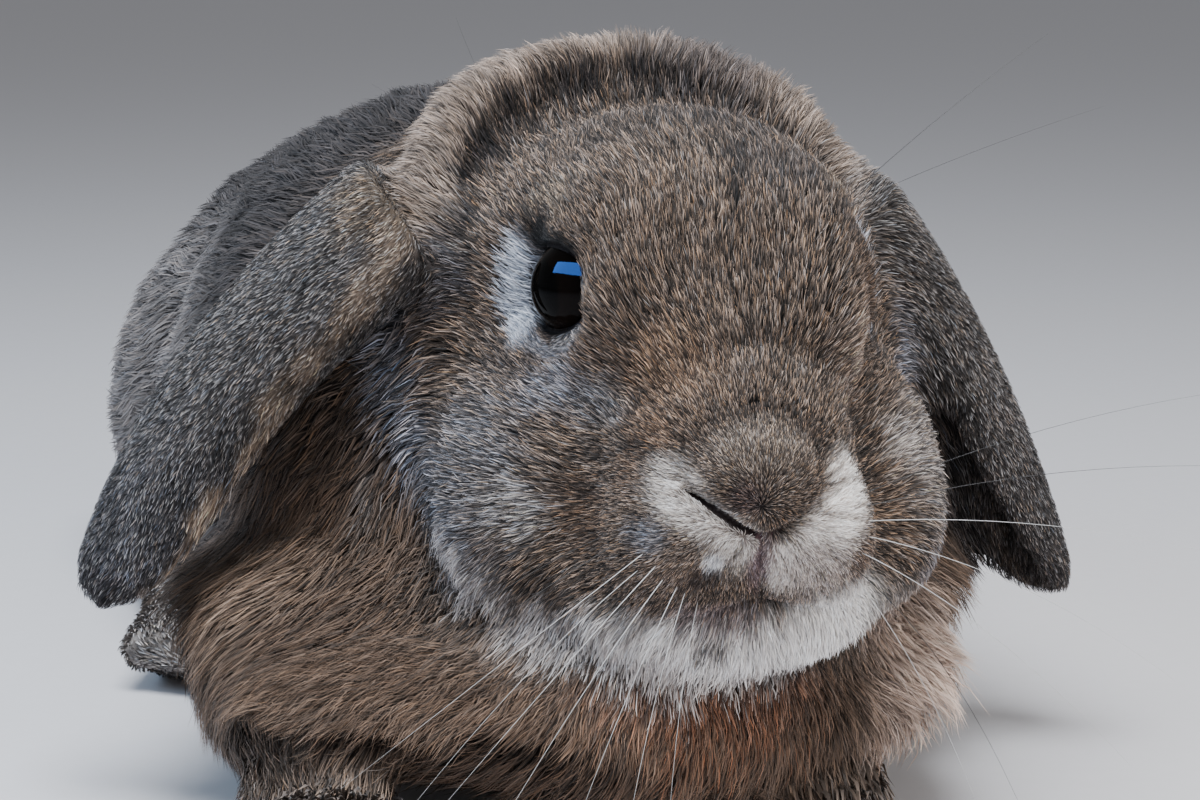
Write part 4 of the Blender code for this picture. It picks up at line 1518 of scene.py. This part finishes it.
class RABBIT_OT_whiskers(bpy.types.Operator):
    """Sets the whiskers of the lips and the long hairs over the eyes"""

    bl_idname = "rabbit.whiskers"
    bl_label = "Whiskers"

    def execute(self, context):
        width = context.scene.rabbit_eyes.whisker_thickness / MM
        for tone, colour in WHISKER_COLOURS.items():
            points, quads = [], []
            for root, bend, end, kind, size in WHISKERS:
                if kind == tone:
                    self.bristle(points, quads, root, bend, end, width * size)
            mesh, _ = set_mesh(f"whiskers_{tone}", np.array(points), [np.array(quads)])
            made, _, shader = material(f"whisker_{tone}", 0.4)
            shader.inputs["Base Color"].default_value = (*colour, 1)
            mesh.materials.append(made)
            whiskers = new_object(f"whiskers_{tone}", mesh)
            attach(whiskers, "root")
        return {"FINISHED"}

    def bristle(self, points, quads, root, bend, end, width):
        """One thin round hair that tapers from root to end."""
        steps, sides = 12, 5
        root, bend, end = (np.array(place, float) for place in (root, bend, end))
        start = len(points)
        for step in range(steps + 1):
            share = step / steps
            middle = (1 - share) ** 2 * root + 2 * share * (1 - share) * bend + share**2 * end
            ahead = unit(2 * (1 - share) * (bend - root) + 2 * share * (end - bend))
            first = unit(np.cross(ahead, (0.13, 0.2, 0.97)))
            second = np.cross(ahead, first)
            radius = width / 2 * (1 - 0.85 * share)
            for number in range(sides):
                angle = math.tau * number / sides
                place = middle + (first * math.cos(angle) + second * math.sin(angle)) * radius
                points.append(to_frame(place))
        for step in range(steps):
            for number in range(sides):
                other = (number + 1) % sides
                low = start + step * sides
                quads.append((low + number, low + other, low + sides + other, low + sides + number))


# Claws on each foot, the share of its width they spread over, the height of their roots above the
# floor, and their length and half width at the root
CLAWS, CLAW_SPREAD = 4, 0.62
CLAW_HEIGHT, CLAW_LENGTH, CLAW_RADIUS = 3.6, 5.0, 0.95


class RABBIT_OT_claws(bpy.types.Operator):
    """Sets the claws at the ends of the toes"""

    bl_idname = "rabbit.claws"
    bl_label = "Claws"

    def execute(self, context):
        finish, _, shader = material("horn", 0.35)
        shader.inputs["Base Color"].default_value = (0.12, 0.085, 0.06, 1)
        for foot in ("forepaw_right", "forepaw_left", "hind_foot_right", "hind_foot_left"):
            low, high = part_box(foot)
            bm = bmesh.new()
            for number in range(CLAWS):
                share = (number + 0.5) / CLAWS
                wide = (high.x - low.x) * CLAW_SPREAD
                arch = 1 - (2 * share - 1) ** 2
                x = (low.x + high.x) / 2 + (share - 0.5) * wide
                y = low.y + (5.5 - 3.0 * arch) * MM
                self.claw(bm, Vector((x, y, CLAW_HEIGHT * MM)))
            mesh = bpy.data.meshes.new(f"claws_{foot}")
            bm.to_mesh(mesh)
            bm.free()
            mesh.materials.append(finish)
            mesh.shade_smooth()
            claws = new_object(f"claws_{foot}", mesh)
            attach(claws, "root")
        return {"FINISHED"}

    def claw(self, bm, root):
        """A small curved cone that points forward and down."""
        sides, steps = 8, 5
        rings = []
        for step in range(steps):
            share = step / steps
            radius = CLAW_RADIUS * (1 - share) ** 0.7
            y, z = -CLAW_LENGTH * share, 0.4 * math.sin(share * 2.2) - 2.2 * share**2
            ring = []
            for number in range(sides):
                angle = math.tau * number / sides
                offset = Vector((math.cos(angle) * radius * 0.75, y, z + math.sin(angle) * radius))
                ring.append(bm.verts.new(root + offset * MM))
            rings.append(ring)
        point = bm.verts.new(root + Vector((0, -CLAW_LENGTH, -2.0)) * MM)
        for first, second in zip(rings, rings[1:]):
            for number in range(sides):
                other = (number + 1) % sides
                bm.faces.new((first[number], first[other], second[other], second[number]))
        for number in range(sides):
            bm.faces.new((rings[-1][number], rings[-1][(number + 1) % sides], point))
        bm.faces.new(rings[0][::-1])


# Lights: face place in millimetres, size in metres, power as a share of the key light's, colour,
# and whether they light the eyes with the rest, leave them out or light nothing else
LIGHTS = {
    "key_light": ((-130, -190, 700), (0.55, 0.28), 1.0, (0.90, 0.95, 1.0), "without eyes"),
    "fill_light": ((420, -560, 360), (1.0, 0.5), 0.35, (1.0, 0.96, 0.92), "all"),
    "side_light": ((-690, -10, 540), (0.86, 0.26), 0.34, (0.50, 0.72, 1.0), "without eyes"),
    "eye_light": ((-570, -345, 678), (0.95, 0.34), 10, (0.06, 0.26, 1.0), "eyes only"),
}

# The face place that the lights point at, the light of the room itself and the floor's radius
LIT_PLACE = (0, 20, 60)
ROOM_COLOUR, ROOM_STRENGTH = (0.88, 0.91, 0.96, 1), 0.36
FLOOR_RADIUS = 14.0

# The camera's lens and sensor width in millimetres, and its place and turn by the face
LENS, SENSOR = 91.8, 36.0
CAMERA_PLACE = (-146.8, -462.0, 156.9)
CAMERA_AHEAD = (0.2714, 0.9467, -0.1736)
CAMERA_RIGHT = (0.9613, -0.2756, 0.0)


class RABBIT_OT_stage(bpy.types.Operator):
    """Sets the floor, the soft lights and the camera"""

    bl_idname = "rabbit.stage"
    bl_label = "Stage"

    def execute(self, context):
        settings = context.scene.rabbit_stage
        bm = bmesh.new()
        bmesh.ops.create_circle(
            bm, cap_ends=True, segments=settings.segments, radius=FLOOR_RADIUS
        )
        mesh = bpy.data.meshes.new("floor")
        bm.to_mesh(mesh)
        bm.free()
        made, tree, shader = material("pale_floor", 0.85, 0.2)
        place = node(tree, "ShaderNodeTexCoord")
        grain = node(tree, "ShaderNodeTexNoise", Vector=place.outputs["Object"], Scale=260.0)
        paint_on = node(tree, "ShaderNodeMix")
        paint_on.data_type = "RGBA"
        dim = (*(c * 0.96 for c in settings.floor_colour), 1)
        paint_on.inputs[MIX_FIRST].default_value = dim
        paint_on.inputs[MIX_SECOND].default_value = (*settings.floor_colour, 1)
        tree.links.new(grain.outputs["Fac"], paint_on.inputs[MIX_SHARE])
        tree.links.new(paint_on.outputs[MIX_RESULT], shader.inputs["Base Color"])
        mesh.materials.append(made)
        new_object("floor", mesh)
        self.light_up(context, settings)
        self.place_camera(context)
        return {"FINISHED"}

    def light_up(self, context, settings):
        world = bpy.data.worlds.new("room")
        world.use_nodes = True
        sky = world.node_tree.nodes["Background"]
        sky.inputs["Color"].default_value = ROOM_COLOUR
        sky.inputs["Strength"].default_value = ROOM_STRENGTH
        context.scene.world = world
        middle = Vector(to_frame(LIT_PLACE))
        for name, (place, size, share, colour, reach) in LIGHTS.items():
            light = bpy.data.lights.new(name, "AREA")
            light.shape = "RECTANGLE"
            light.size, light.size_y = size
            light.energy, light.color = settings.key_power * share, colour
            lamp = bpy.data.objects.new(name, light)
            lamp.location = to_frame(place)
            lamp.rotation_euler = (middle - lamp.location).to_track_quat("-Z", "Y").to_euler()
            if reach == "without eyes":
                lamp.light_linking.receiver_collection = self.eyes_as("EXCLUDE")
            elif reach == "eyes only":
                lamp.light_linking.receiver_collection = self.eyes_as("INCLUDE")
                lamp.visible_diffuse = False
            context.scene.collection.objects.link(lamp)

    def eyes_as(self, state):
        """The two eyeballs as a set, to give them a light of their own or keep one off them."""
        eyes = bpy.data.collections.new("eyes_" + state.lower())
        for side in SIDES:
            eyes.objects.link(finished(f"eyeball_{side}"))
        for member in eyes.collection_objects:
            member.light_linking.link_state = state
        return eyes

    def place_camera(self, context):
        camera = bpy.data.cameras.new("camera")
        camera.lens, camera.sensor_width = LENS, SENSOR
        camera.clip_start, camera.clip_end = 0.02, 40.0
        view = bpy.data.objects.new("camera", camera)
        ahead = Vector(CAMERA_AHEAD).normalized()
        right = Vector(CAMERA_RIGHT).normalized()
        turn = Matrix((right, right.cross(ahead), -ahead)).transposed()
        place = FACE_ORIGIN + np.array(CAMERA_PLACE) * MM
        view.matrix_world = Matrix.Translation(Vector(place)) @ turn.to_4x4()
        context.scene.collection.objects.link(view)
        context.scene.camera = view


class RABBIT_PT_panel(bpy.types.Panel):
    """Lists the steps that make the rabbit, with their settings"""

    bl_idname = "RABBIT_PT_panel"
    bl_label = "Rabbit"
    bl_space_type = "VIEW_3D"
    bl_region_type = "UI"
    bl_category = "Rabbit"

    def draw(self, context):
        for operator in OPERATORS:
            self.layout.operator(operator.bl_idname)
        for name in SETTINGS:
            box = self.layout.box()
            settings = getattr(context.scene, name)
            for key in settings.bl_rna.properties.keys():
                if key not in ("rna_type", "name"):
                    box.prop(settings, key)


OPERATORS = (
    RABBIT_OT_skin,
    RABBIT_OT_eyes,
    RABBIT_OT_coat,
    RABBIT_OT_whiskers,
    RABBIT_OT_claws,
    RABBIT_OT_stage,
)
SETTINGS = {
    "rabbit_skin": RabbitSkinSettings,
    "rabbit_coat": RabbitCoatSettings,
    "rabbit_eyes": RabbitEyeSettings,
    "rabbit_stage": RabbitStageSettings,
}


def register():
    for name, group in SETTINGS.items():
        bpy.utils.register_class(group)
        setattr(bpy.types.Scene, name, PointerProperty(type=group))
    for kind in (*OPERATORS, RABBIT_PT_panel):
        bpy.utils.register_class(kind)


def unregister():
    for kind in reversed((*OPERATORS, RABBIT_PT_panel)):
        bpy.utils.unregister_class(kind)
    for name, group in reversed(SETTINGS.items()):
        delattr(bpy.types.Scene, name)
        bpy.utils.unregister_class(group)


def main():
    register()
    bpy.ops.rabbit.skin()
    bpy.ops.rabbit.eyes()
    bpy.ops.rabbit.coat()
    bpy.ops.rabbit.whiskers()
    bpy.ops.rabbit.claws()
    bpy.ops.rabbit.stage()


if __name__ == "__main__":
    main()
